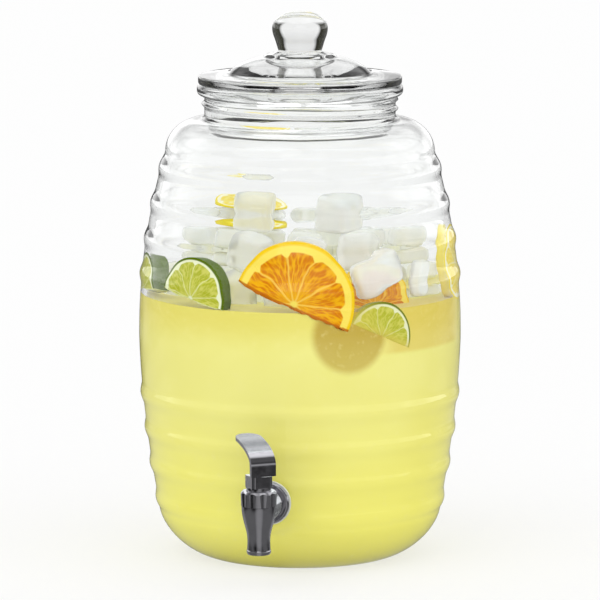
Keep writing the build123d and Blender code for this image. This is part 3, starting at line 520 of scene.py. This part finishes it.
def smooth_line(points, steps):
    """Points of a smooth curve through the given points (Catmull-Rom)."""
    line = []
    ends = [points[0]] + list(points) + [points[-1]]
    for before, a, b, after in zip(ends, ends[1:], ends[2:], ends[3:]):
        for step in range(steps):
            t = step / steps
            line.append(tuple(
                0.5 * (2 * q + (r - p) * t + (2 * p - 5 * q + 4 * r - s) * t * t
                       + (3 * q - p - 3 * r + s) * t ** 3)
                for p, q, r, s in zip(before, a, b, after)
            ))
    return line + [points[-1]]


def lid_outline():
    """The whole lid, from the middle underneath, round its plug and edge and up to its knob."""
    top = LID_Z + LID_EDGE
    plug_in = PLUG_R - PLUG_WALL
    line = [(0, 343.6 * MM), (12 * MM, 343.3 * MM), (24 * MM, 341.2 * MM), (38 * MM, 336.4 * MM)]
    line += [(46.5 * MM, LID_Z + 2 * MM), (49 * MM, LID_Z + 1 * MM), (plug_in - 1 * MM, LID_Z + 1 * MM)]
    line += [(plug_in, LID_Z), (plug_in, lid_low.z + 1 * MM)]
    line += [(plug_in + 1 * MM, lid_low.z), (PLUG_R - 2 * MM, lid_low.z)]
    line += [(PLUG_R - 1.1 * MM, lid_low.z + 1 * MM), (PLUG_R - 0.2 * MM, LID_Z - 1 * MM)]
    line += [(PLUG_R + 0.6 * MM, LID_Z)]
    line += arc((LID_R - EDGE_ROUND, LID_Z + EDGE_ROUND), EDGE_ROUND, -90, 0, 5)
    line += arc((LID_R - EDGE_ROUND, top - EDGE_ROUND), EDGE_ROUND, 0, 86, 5)
    line += [(60 * MM, top + 0.7 * MM), (52.5 * MM, top + 1.4 * MM), (50.6 * MM, top + 1.9 * MM)]
    line += smooth_line(
        [(DOME_R, top + 2.6 * MM), (46 * MM, top + 5.2 * MM), (39 * MM, top + 9.2 * MM),
         (31 * MM, top + 11.9 * MM), (26.2 * MM, top + 12.8 * MM)], 5)
    line += [(DOME_TOP_R, top + 13.6 * MM), (23.6 * MM, top + 14.6 * MM), (21.6 * MM, top + 15.0 * MM)]
    line += smooth_line(
        [(20.2 * MM, 351.2 * MM), (16.4 * MM, 352.2 * MM), (15.2 * MM, 353.4 * MM), (15.9 * MM, 356 * MM),
         (17.2 * MM, 360.4 * MM), (18.7 * MM, 364.6 * MM), (KNOB_R, 368.4 * MM), (18.6 * MM, 372.2 * MM),
         (16.2 * MM, 375.4 * MM), (12.4 * MM, 378.2 * MM), (7 * MM, LID_TOP - 0.4 * MM), (0, LID_TOP)], 4)
    return line


lid_shape = turned(lid_outline(), 160)
unevenness(lid_shape, 0.06 * MM, 70)
# where it is thick, its edge and its knob, a near black painted shade stands in for the dark bands that
# refraction gives them
lid_bands = (
    (LID_Z, LID_Z + LID_EDGE, LID_R - 2 * MM, 0.12, 0.5),
    (354 * MM, 374 * MM, 12 * MM, 0.22, 0.34),
)
lid = put_in_scene("glass_lid", lid_shape, [clear_glass("lid_glass", thick=lid_bands)])
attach(lid, "lid")
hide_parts("lid")


# ---------------------------------------------------------------- lemonade
# Cloudy lemonade up to three fifths of the jar, wetting the glass all round. Slices that float under
# its surface show through it only as soft brownish shapes.
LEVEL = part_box("lemonade")[1].z
IN_GLASS = 0.3 * MM         # the drink reaches into the glass, so that no air shows between them
# the place where a sunk round shows through the drink, and how soft its edge is
SUNK_ORANGE = dict(azimuth=29.5, height=168.5 * MM, radius=29 * MM, soft=7 * MM)


def inner_radius(z):
    """The inner radius of the wall at a height; the ribs show half as much inside."""
    return barrel_radius(z) - WALL + 0.5 * rib_height(z)


def on_wall(tree, azimuth, height):
    """Distances along the wall, sideways and upwards, from a place on it."""
    place = add(tree, "ShaderNodeSeparateXYZ", {0: add(tree, "ShaderNodeTexCoord").outputs["Object"]})
    around = calc(tree, "ARCTAN2", place.outputs["X"], calc(tree, "MULTIPLY", place.outputs["Y"], -1.0))
    side = calc(tree, "MULTIPLY", calc(tree, "SUBTRACT", around, radians(azimuth)), inner_radius(height))
    return side, calc(tree, "SUBTRACT", place.outputs["Z"], height)


def lemonade_paint():
    """Cloudy yellow, browner near its surface and where fruit lies under it."""
    paint, tree = new_paint("lemonade")
    place = add(tree, "ShaderNodeTexCoord").outputs["Object"]
    cloud = noise_value(tree, place, 9.0, 2.0)
    pulp = noise_value(tree, place, 260.0, 3.0)
    height = add(tree, "ShaderNodeSeparateXYZ", {0: place}).outputs["Z"]
    colour = blend(tree, rise(tree, height, 0.02, 0.14), tone(252, 246, 124), tone(244, 238, 140))
    colour = blend(tree, rise(tree, cloud, 0.35, 0.65, 0.0, 0.35), colour, tone(238, 228, 104))
    near_top = rise(tree, height, LEVEL - 28 * MM, LEVEL - 4 * MM, 0.0, 0.7)
    colour = blend(tree, near_top, colour, tone(232, 218, 96))
    side, over = on_wall(tree, 56, LEVEL - 15 * MM)
    tan_left = rise(tree, side, -0.035, -0.012)
    tan_zone = calc(tree, "MULTIPLY", tan_left, rise(tree, side, 0.045, 0.075, 1.0, 0.0))
    tan_zone = calc(tree, "MULTIPLY", tan_zone, rise(tree, over, -0.0165, -0.0125, 0.0, 0.55))
    colour = blend(tree, tan_zone, colour, tone(222, 192, 78))
    side, over = on_wall(tree, SUNK_ORANGE["azimuth"], SUNK_ORANGE["height"])
    squares = [calc(tree, "POWER", value, 2.0) for value in (side, over)]
    away = calc(tree, "SQRT", calc(tree, "ADD", *squares))
    sunk_r = SUNK_ORANGE["radius"]
    sunk = rise(tree, away, sunk_r - SUNK_ORANGE["soft"], sunk_r, 0.9, 0.0)
    sunk = calc(tree, "MULTIPLY", sunk, rise(tree, over, -0.03, 0.015, 0.72, 1.0))
    colour = blend(tree, sunk, colour, tone(190, 158, 54))
    colour = blend(tree, rise(tree, pulp, 0.55, 0.8, 0.0, 0.25), colour, tone(246, 238, 160))
    drink = add(tree, "ShaderNodeBsdfPrincipled", {"Base Color": colour, "Roughness": 0.45, "IOR": 1.34})
    add(tree, "ShaderNodeOutputMaterial", {"Surface": drink.outputs[0]})
    return paint


def lemonade_outline():
    """Outline of the drink, from the middle of the bottom up the wall and in over its surface."""
    side = wall_line(WALL - IN_GLASS, 0.5, FOOT_R - WALL, BOTTOM - IN_GLASS, LEVEL)
    line = [(0, BOTTOM - IN_GLASS), (FOOT_R * 0.5, BOTTOM - IN_GLASS)] + side
    edge = side[-1][0]
    line += [(edge, LEVEL + 0.8 * MM), (edge - 1.2 * MM, LEVEL + 0.1 * MM), (edge - 3 * MM, LEVEL)]
    line += [(edge * share, LEVEL) for share in (0.8, 0.6, 0.4, 0.2, 0)]
    return line


lemonade = put_in_scene("lemonade_fill", turned(lemonade_outline(), 128), [lemonade_paint()])
lemonade.visible_glossy = False
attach(lemonade, "jar")
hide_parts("lemonade")


# ---------------------------------------------------------------- ice
# Cloudy ice cubes with edges rounded by melting, heaped on the lemonade, and two shards against the
# glass at the right. Each cube has a slightly different size and lean.
ICE = 26.0 * MM
ICE_LOW = LEVEL + 6 * MM
ICE_HIGH = ICE_LOW + ICE + 0.3 * MM
ICE_TOP = ICE_HIGH + ICE + 0.3 * MM
# rings of cubes: radius in mm, count, height, first azimuth and step in degrees
ICE_RINGS = (
    (26, 4, ICE_LOW, 20, 90),
    (60, 10, ICE_LOW, 0, 36),
    (48, 7, ICE_HIGH, 18, 360 / 7),
    (14, 1, ICE_HIGH, 20, 0),
    (88, 8, ICE_LOW, 118, 20.5),
    (80.5, 7, ICE_HIGH, 120, 22),
)
SQUARENESS = 4.6            # power of a cube's shape: 2 is a ball, and more is squarer
FULLNESS = 1.04
MELT = 0.13                 # unevenness of a cube, as a share of its size
MELT_SCALE = 60


def facing_out(azimuth, height, inset=0, reach=None, lean=0, turn=0, roll=0):
    """Places a piece that faces away from the jar's axis, leant, turned and rolled about its own axes."""
    around = radians(azimuth)
    if reach is None:
        reach = barrel_radius(height) - WALL - inset
    outward = Vector((sin(around), -cos(around), 0))
    place = Matrix.Translation(outward * reach + Vector((0, 0, height)))
    across = Vector((cos(around), sin(around), 0))
    place @= Matrix((across, (0, 0, 1), outward)).transposed().to_4x4()
    for amount, about in ((lean, "X"), (turn, "Y"), (roll, "Z")):
        place @= Matrix.Rotation(radians(amount), 4, about)
    return place


def ice_paint():
    """Half clear, half cloudy ice with a melted surface."""
    paint, tree = new_paint("ice")
    place = add(tree, "ShaderNodeTexCoord").outputs["Object"]
    cloud = noise_value(tree, place, 60.0, 3.0)
    colour = blend(tree, rise(tree, cloud, 0.35, 0.7), tone(252, 253, 253), tone(243, 246, 248))
    melt = noise_value(tree, place, 110.0, 2.0)
    bump = add(tree, "ShaderNodeBump", {"Height": melt, "Strength": 0.3, "Distance": 0.0016})
    sockets = {
        "Base Color": colour, "Roughness": 0.18, "IOR": 1.22, "Transmission Weight": 0.5,
        "Normal": bump.outputs[0],
    }
    clouded = add(tree, "ShaderNodeBsdfPrincipled", sockets)
    open_way = add(tree, "ShaderNodeBsdfTransparent", {"Color": (0.96, 0.97, 0.975, 1)})
    path = add(tree, "ShaderNodeLightPath")
    # shadows, soft light and rays that have crossed six surfaces pass straight through
    unlit = calc(tree, "MAXIMUM", path.outputs["Is Shadow Ray"], path.outputs["Is Diffuse Ray"])
    deep = calc(tree, "GREATER_THAN", path.outputs["Transmission Depth"], 5.5)
    unlit = calc(tree, "MAXIMUM", calc(tree, "MULTIPLY", unlit, 0.92), deep)
    mixed = add(tree, "ShaderNodeMixShader", {0: unlit, 1: clouded.outputs[0], 2: open_way.outputs[0]})
    add(tree, "ShaderNodeOutputMaterial", {"Surface": mixed.outputs[0]})
    return paint


def ice_cube(shape, size, seed, **spec):
    """Adds a melted cube to the heap."""
    cube = bmesh.new()
    bmesh.ops.create_cube(cube, size=1)
    bmesh.ops.scale(cube, vec=size, verts=cube.verts)
    bmesh.ops.subdivide_edges(cube, edges=cube.edges, cuts=7, use_grid_fill=True)
    half = [side / 2 for side in size]
    for spot in cube.verts:
        share = [spot.co[axis] / half[axis] for axis in range(3)]
        bulge = (sum(abs(value) ** SQUARENESS for value in share)) ** (1 / SQUARENESS)
        spot.co *= FULLNESS / max(bulge, 1e-6) * max(abs(value) for value in share)
        spot.co *= 1 + MELT * noise.noise(spot.co * MELT_SCALE + Vector((seed * 3.7, 0, 0)))
    bmesh.ops.transform(cube, matrix=facing_out(**spec), verts=cube.verts)
    mesh = bpy.data.meshes.new("cube")
    cube.to_mesh(mesh)
    cube.free()
    shape.from_mesh(mesh)
    bpy.data.meshes.remove(mesh)


ice_heap = bmesh.new()
seed = 0
for ring_r, ring_count, ring_z, first, step in ICE_RINGS:
    for index in range(ring_count):
        seed += 1
        side = ICE * (0.86 + 0.03 * (seed * 3 % 5))
        ice_cube(
            ice_heap, (side, side, side), seed, azimuth=first + step * index, reach=ring_r * MM,
            height=ring_z, lean=seed * 7 % 33 - 16, turn=seed * 11 % 47 - 23, roll=seed * 5 % 35 - 17,
        )
# two cubes on top of the heap
for azimuth, lean, roll in ((69, 12, 10), (275, -9, -15)):
    seed += 1
    ice_cube(
        ice_heap, (ICE, ICE, ICE), seed,
        azimuth=azimuth, reach=32 * MM, height=ICE_TOP, lean=lean, roll=roll)
# and the two shards
ice_cube(
    ice_heap, (38 * MM, 24 * MM, 14 * MM), 40,
    azimuth=46, inset=14.5 * MM, height=207 * MM, lean=-7, roll=14)
ice_cube(
    ice_heap, (11 * MM, 24 * MM, 10 * MM), 41,
    azimuth=70, inset=11.0 * MM, height=202 * MM, lean=-7, roll=-24)
ice = put_in_scene("ice_heap", ice_heap, [ice_paint()])
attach(ice, "jar")
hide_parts("ice_cubes")
ice.visible_glossy = False


# ---------------------------------------------------------------- citrus slices
# Oranges, limes and lemons cut across: wet flesh in segments between pale membranes, a ring of white
# pith and a thin oily peel. Slices that the ice pushes against the glass bend to its curve.
PRESSED = 0.7 * MM          # how far a pressed slice reaches into the glass, so that no air shows
SINKS_FROM = 0.8            # a slice that is more sunk than this draws back from the glass
SINKING = 10 * MM           # how fast it draws back; 2 mm where it is wholly sunk


def citrus_paint(name, deep, light, skin, pith, peel, torn, segments, peel_from=0.95, pith_from=0.86):
    """Cut fruit: deep and light flesh, the membranes' skin, pith and peel.

    torn is the flesh of a half's cut side, and the last two are shares of the radius."""
    paint, tree = new_paint(name)
    flat = add(tree, "ShaderNodeTexCoord").outputs["UV"]
    spot = add(tree, "ShaderNodeVectorMath", {0: flat, 1: (0.5, 0.5, 0)}, operation="SUBTRACT").outputs[0]
    parts = add(tree, "ShaderNodeSeparateXYZ", {0: spot})
    length = add(tree, "ShaderNodeVectorMath", {0: spot}, operation="LENGTH").outputs["Value"]
    out_r = calc(tree, "MULTIPLY", length, 2.0)
    wobble = noise_value(tree, flat, 5.0, 1.0)
    around = calc(tree, "ARCTAN2", parts.outputs["Y"], parts.outputs["X"])
    around = calc(tree, "MULTIPLY", around, segments / (2 * pi))
    around = calc(tree, "ADD", around, calc(tree, "MULTIPLY", wobble, 0.5))
    # the 0.3 turns the segments a little, and the hundred keeps the value above nought
    within = calc(tree, "FRACT", calc(tree, "ADD", around, 100.3))
    from_skin = calc(tree, "MINIMUM", within, calc(tree, "SUBTRACT", 1.0, within))
    from_skin_r = calc(tree, "MULTIPLY", calc(tree, "MULTIPLY", from_skin, out_r), 2 * pi / segments)
    # juice sacs run out from the middle
    sac_place = add(
        tree, "ShaderNodeCombineXYZ",
        {"X": calc(tree, "MULTIPLY", around, 5.0), "Y": calc(tree, "MULTIPLY", out_r, 4.0), "Z": 0.0},
    ).outputs[0]
    sacs = add(tree, "ShaderNodeTexVoronoi", {"Vector": sac_place, "Scale": 1.8}, feature="F1")
    sacs = sacs.outputs["Distance"]
    fine = noise_value(tree, sac_place, 2.2, 4.0)
    grain = calc(tree, "ADD", sacs, calc(tree, "MULTIPLY", fine, 0.6))
    flesh = blend(tree, rise(tree, grain, 0.55, 1.15), deep, light)
    flesh = blend(tree, rise(tree, out_r, 0.1, 0.5, 0.6, 0.0), flesh, light)
    skin_share = rise(tree, from_skin_r, 0.006, 0.022, 1.0, 0.0)
    colour = blend(tree, calc(tree, "MULTIPLY", skin_share, 0.8), flesh, skin)
    # the pith reaches in between two segments
    between = calc(tree, "MULTIPLY", rise(tree, from_skin, 0.0, 0.18, 1.0, 0.0), 0.07)
    corner = calc(tree, "ADD", out_r, between)
    colour = blend(tree, rise(tree, corner, pith_from - 0.012, pith_from + 0.014), colour, pith)
    colour = blend(tree, rise(tree, out_r, 0.03, 0.09, 1.0, 0.0), colour, pith)
    colour = blend(tree, rise(tree, out_r, peel_from - 0.02, peel_from + 0.01), colour, peel)
    cut = add(tree, "ShaderNodeAttribute", attribute_name="cut").outputs["Fac"]
    rag = calc(tree, "ADD", cut, calc(tree, "MULTIPLY", calc(tree, "SUBTRACT", fine, 0.5), 0.5))
    colour = blend(tree, rise(tree, rag, 0.35, 0.65, 0.0, 0.9), colour, torn)
    sunk = add(tree, "ShaderNodeAttribute", attribute_name="sunk").outputs["Fac"]
    colour = blend(tree, sunk, colour, tone(214, 198, 84))
    pore_place = add(tree, "ShaderNodeTexCoord").outputs["Object"]
    pores = add(tree, "ShaderNodeTexVoronoi", {"Vector": pore_place, "Scale": 900.0}, feature="F1")
    pores = pores.outputs["Distance"]
    relief = calc(tree, "ADD", calc(tree, "MULTIPLY", sacs, -0.6), calc(tree, "MULTIPLY", skin_share, 0.35))
    on_peel = rise(tree, out_r, 0.97, 0.99)
    relief = add(tree, "ShaderNodeMix", {0: on_peel, 2: relief, 3: pores}, data_type="FLOAT").outputs[0]
    bump = add(tree, "ShaderNodeBump", {"Height": relief, "Strength": 0.5, "Distance": 0.0006})
    sockets = {
        "Base Color": colour, "Roughness": 0.32, "IOR": 1.35, "Specular IOR Level": 0.1,
        "Normal": bump.outputs[0],
    }
    fruit = add(tree, "ShaderNodeBsdfPrincipled", sockets)
    add(tree, "ShaderNodeOutputMaterial", {"Surface": fruit.outputs[0]})
    return paint


orange_paint = citrus_paint(
    "orange_flesh", tone(216, 124, 0), tone(242, 178, 8), tone(250, 206, 84), tone(252, 228, 96),
    tone(248, 206, 24), tone(190, 100, 6), 10, pith_from=0.83)
lime_paint = citrus_paint(
    "lime_flesh", tone(176, 182, 44), tone(208, 208, 96), tone(228, 232, 160), tone(238, 242, 205),
    tone(88, 112, 0), tone(226, 230, 160), 9, peel_from=0.94, pith_from=0.87)
lemon_paint = citrus_paint(
    "lemon_flesh", tone(240, 214, 60), tone(248, 232, 120), tone(252, 246, 196), tone(252, 248, 214),
    tone(246, 226, 40), tone(244, 224, 90), 9)


def slice_shape(radius, thickness, half, cut_side):
    """A slice with swollen segments, a dip at the pith and a rounded peel; a half is cut along its x axis."""
    top = thickness / 2
    face = [(0, -0.12), (0.10, 0.0), (0.22, 0.1), (0.36, 0.14), (0.50, 0.15), (0.62, 0.15), (0.72, 0.12),
            (0.80, 0.03), (0.85, -0.15), (0.90, -0.08), (0.945, 0.0)]
    front = [(share * radius, top + lift * MM) for share, lift in face]
    edge = [(radius - 0.5 * MM, top - 0.15 * MM), (radius - 0.12 * MM, top - 0.5 * MM)]
    edge += [(radius, top - 1.3 * MM)]
    outline = front + edge + [(radius, 0)]
    outline += [(r, -z) for r, z in reversed(front + edge)]
    shape = turned(outline, 160)
    cut = shape.verts.layers.float.new("cut")
    shape.verts.layers.float.new("sunk")
    if half:
        everything = shape.verts[:] + shape.edges[:] + shape.faces[:]
        found = bmesh.ops.bisect_plane(
            shape, geom=everything, plane_co=(0, -cut_side, 0), plane_no=(0, 1, 0), clear_inner=True)
        rim = [piece for piece in found["geom_cut"] if isinstance(piece, bmesh.types.BMEdge)]
        bmesh.ops.holes_fill(shape, edges=rim)
        bmesh.ops.recalc_face_normals(shape, faces=shape.faces)
        for spot in shape.verts:
            spot[cut] = min(1, max(0, -spot.co.y / cut_side)) if cut_side else 0
            if spot.co.y < -0.9 * cut_side:
                spot.co.y += 1.6 * MM * noise.noise(spot.co * 220)
    layer = shape.loops.layers.uv.new("flat")
    for piece in shape.faces:
        for corner in piece.loops:
            corner[layer].uv = (0.5 + corner.vert.co.x / radius / 2, 0.5 + corner.vert.co.y / radius / 2)
    return shape


def press_on_glass(shape, thickness, azimuth, height, roll):
    """Bends a slice to the inside of the wall, its front on the glass.

    Where it is sunk, it draws back and the drink covers it."""
    wall = inner_radius(height)
    layer = shape.verts.layers.float["sunk"]
    for spot in shape.verts:
        flat = Matrix.Rotation(radians(roll), 2) @ spot.co.xy
        up = height + flat.y
        out = inner_radius(up) + PRESSED + spot.co.z - thickness / 2
        out -= SINKING * max(0, spot[layer] - SINKS_FROM)
        around = radians(azimuth) + flat.x / wall
        spot.co = (out * sin(around), -out * cos(around), up)


def citrus_slice(
        name, node, slot, paint, radius, thickness, half, cut_side=0.0, pressed=False, sunk=None, **spec):
    """A slice of fruit in the jar, bent to the glass where it is pressed on it."""
    radius, thickness = radius * MM, thickness * MM
    shape = slice_shape(radius, thickness, half, cut_side * MM)
    if sunk:
        layer = shape.verts.layers.float["sunk"]
        for spot in shape.verts:
            spot[layer] = sunk(spot.co.x / radius, spot.co.y / radius)
    if pressed:
        press_on_glass(shape, thickness, **spec)
    else:
        bmesh.ops.transform(shape, matrix=facing_out(**spec), verts=shape.verts)
    made = put_in_scene(name, shape, [paint])
    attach(made, "jar")
    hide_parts(node)
    made.visible_glossy = False


citrus_slice(
    "orange_half_at_front", "orange_half_front", "orange_flesh", orange_paint, 41.5, 8, True,
    cut_side=3.5, pressed=True, azimuth=9.2, height=191 * MM, roll=-24)
citrus_slice(
    "orange_half_at_right", "orange_half_side", "orange_flesh", orange_paint, 30, 6, True,
    azimuth=48, inset=25.2 * MM, height=183 * MM, lean=-7, roll=-6)
citrus_slice(
    "orange_round_under", "orange_round_sunk", "orange_flesh", orange_paint, 29, 6, False,
    azimuth=33, inset=21.7 * MM, height=158 * MM)
citrus_slice(
    "lime_half_at_front", "lime_half_front", "lime_flesh", lime_paint, 28, 11, True,
    cut_side=1.0, pressed=True, azimuth=-32, height=191 * MM, roll=-12)
citrus_slice(
    "lime_half_at_left", "lime_half_side", "lime_flesh", lime_paint, 24, 11, True,
    cut_side=1.0, pressed=True, azimuth=-68, height=190 * MM, roll=8)
citrus_slice(
    "lime_round_at_front", "lime_round_front", "lime_flesh", lime_paint, 25, 6, False,
    pressed=True, azimuth=41.5, height=165.5 * MM, roll=0,
    sunk=lambda x, y: min(1, max(0.12, 0.65 * (0.35 - x), 1 - 2.6 * (0.91 * y + 0.41 * x))))
citrus_slice(
    "lemon_round_at_right", "lemon_round_side", "lemon_flesh", lemon_paint, 26, 6, False,
    pressed=True, azimuth=93, height=207 * MM, roll=0)
citrus_slice(
    "lemon_round_on_top", "lemon_round_top", "lemon_flesh", lemon_paint, 26, 5, False,
    azimuth=-135, reach=63 * MM, height=ICE_HIGH + ICE / 2 + 8 * MM, lean=-102)


# ---------------------------------------------------------------- spigot
# A plastic spigot plated with bright chrome, held on the wall by a nut inside the jar. Its body,
# collar nut, bonnet and lever are moulded apart, and silicone washers seal both sides of the glass.
def chrome_paint():
    """Bright plating with a faint haze and ripple."""
    paint, tree = new_paint("chromed_plastic")
    place = add(tree, "ShaderNodeTexCoord").outputs["Object"]
    haze = noise_value(tree, place, 220.0, 3.0)
    colour = blend(tree, haze, tone(168, 167, 172), tone(180, 179, 184))
    dullness = rise(tree, haze, 0.3, 0.7, 0.07, 0.13)
    ripple = noise_value(tree, place, 90.0, 1.0)
    bump = add(tree, "ShaderNodeBump", {"Height": ripple, "Strength": 0.08, "Distance": 0.001})
    sockets = {"Base Color": colour, "Metallic": 1.0, "Roughness": dullness, "Normal": bump.outputs[0]}
    chrome = add(tree, "ShaderNodeBsdfPrincipled", sockets)
    add(tree, "ShaderNodeOutputMaterial", {"Surface": chrome.outputs[0]})
    return paint


def soft_paint(name, light, dark, roughness, metallic=0.0):
    """Silicone, nylon or drawn steel: a plain finish with a fine mottle."""
    paint, tree = new_paint(name)
    place = add(tree, "ShaderNodeTexCoord").outputs["Object"]
    mottle = noise_value(tree, place, 400.0, 4.0)
    colour = blend(tree, mottle, light, dark)
    bump = add(tree, "ShaderNodeBump", {"Height": mottle, "Strength": 0.15, "Distance": 0.0003})
    sockets = {"Base Color": colour, "Metallic": metallic, "Roughness": roughness, "Normal": bump.outputs[0]}
    finish = add(tree, "ShaderNodeBsdfPrincipled", sockets)
    add(tree, "ShaderNodeOutputMaterial", {"Surface": finish.outputs[0]})
    return paint


def finish_node(node, paint):
    """Gives a CAD piece that paint."""
    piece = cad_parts[node]
    piece.data.materials.clear()
    piece.data.materials.append(paint)


chrome = chrome_paint()
clear_silicone = soft_paint("clear_silicone", tone(226, 228, 222), tone(210, 213, 206), 0.4)
valve_silicone = soft_paint("valve_silicone", tone(196, 194, 190), tone(180, 178, 172), 0.55)
nylon = soft_paint("nut_nylon", tone(226, 226, 222), tone(214, 214, 209), 0.45)
stem_plastic = soft_paint("stem_plastic", tone(214, 213, 208), tone(200, 199, 194), 0.4)
steel = soft_paint("spring_steel", tone(186, 187, 190), tone(160, 161, 164), 0.3, metallic=1.0)
for node in ("spigot_body", "collar_nut", "bonnet", "lever"):
    finish_node(node, chrome)
for node in ("outer_washer", "inner_washer"):
    finish_node(node, clear_silicone)
for node in ("bonnet_seal", "stem_seal", "seat_cup"):
    finish_node(node, valve_silicone)
finish_node("shank_nut", nylon)
finish_node("stem", stem_plastic)
finish_node("lever_pin", steel)
finish_node("return_spring", steel)


def coil(middle, radius, wire_r, low, high, turns):
    """A wire wound in a spiral between two heights."""
    shape = bmesh.new()
    steps = round(turns * 28)
    sides = 10
    angles = [2 * pi * side / sides for side in range(sides)]
    corners = [(wire_r * cos(angle), wire_r * sin(angle)) for angle in angles]
    rings = []
    for step in range(steps + 1):
        around = 2 * pi * turns * step / steps
        outward = Vector((cos(around), sin(around), 0))
        spot = Vector((middle.x, middle.y, low + (high - low) * step / steps))
        ring = [spot + outward * (radius + out) + Vector((0, 0, up)) for out, up in corners]
        rings.append([shape.verts.new(place) for place in ring])
    for first, second in zip(rings, rings[1:]):
        for index in range(sides):
            shape.faces.new((first[index], first[index - 1], second[index - 1], second[index]))
    shape.faces.new(rings[0])
    shape.faces.new(reversed(rings[-1]))
    bmesh.ops.recalc_face_normals(shape, faces=shape.faces)
    return shape


# a coil at the spring's rest length, riding on the bonnet; it does not shorten as the stem rises
spring_low, spring_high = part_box("return_spring")
SPRING_R = 4.2 * MM
WIRE_R = 0.4 * MM
SPRING_TURNS = 4.5
spring_middle = (spring_low + spring_high) / 2
spring_middle.x = 0
spring_middle.y = spring_high.y - SPRING_R - WIRE_R
spring_shape = coil(
    spring_middle, SPRING_R, WIRE_R, spring_low.z + WIRE_R, spring_high.z - WIRE_R, SPRING_TURNS)
spring = put_in_scene("spring_coil", spring_shape, [steel])
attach(spring, "bonnet")
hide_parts("return_spring")
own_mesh(spring)
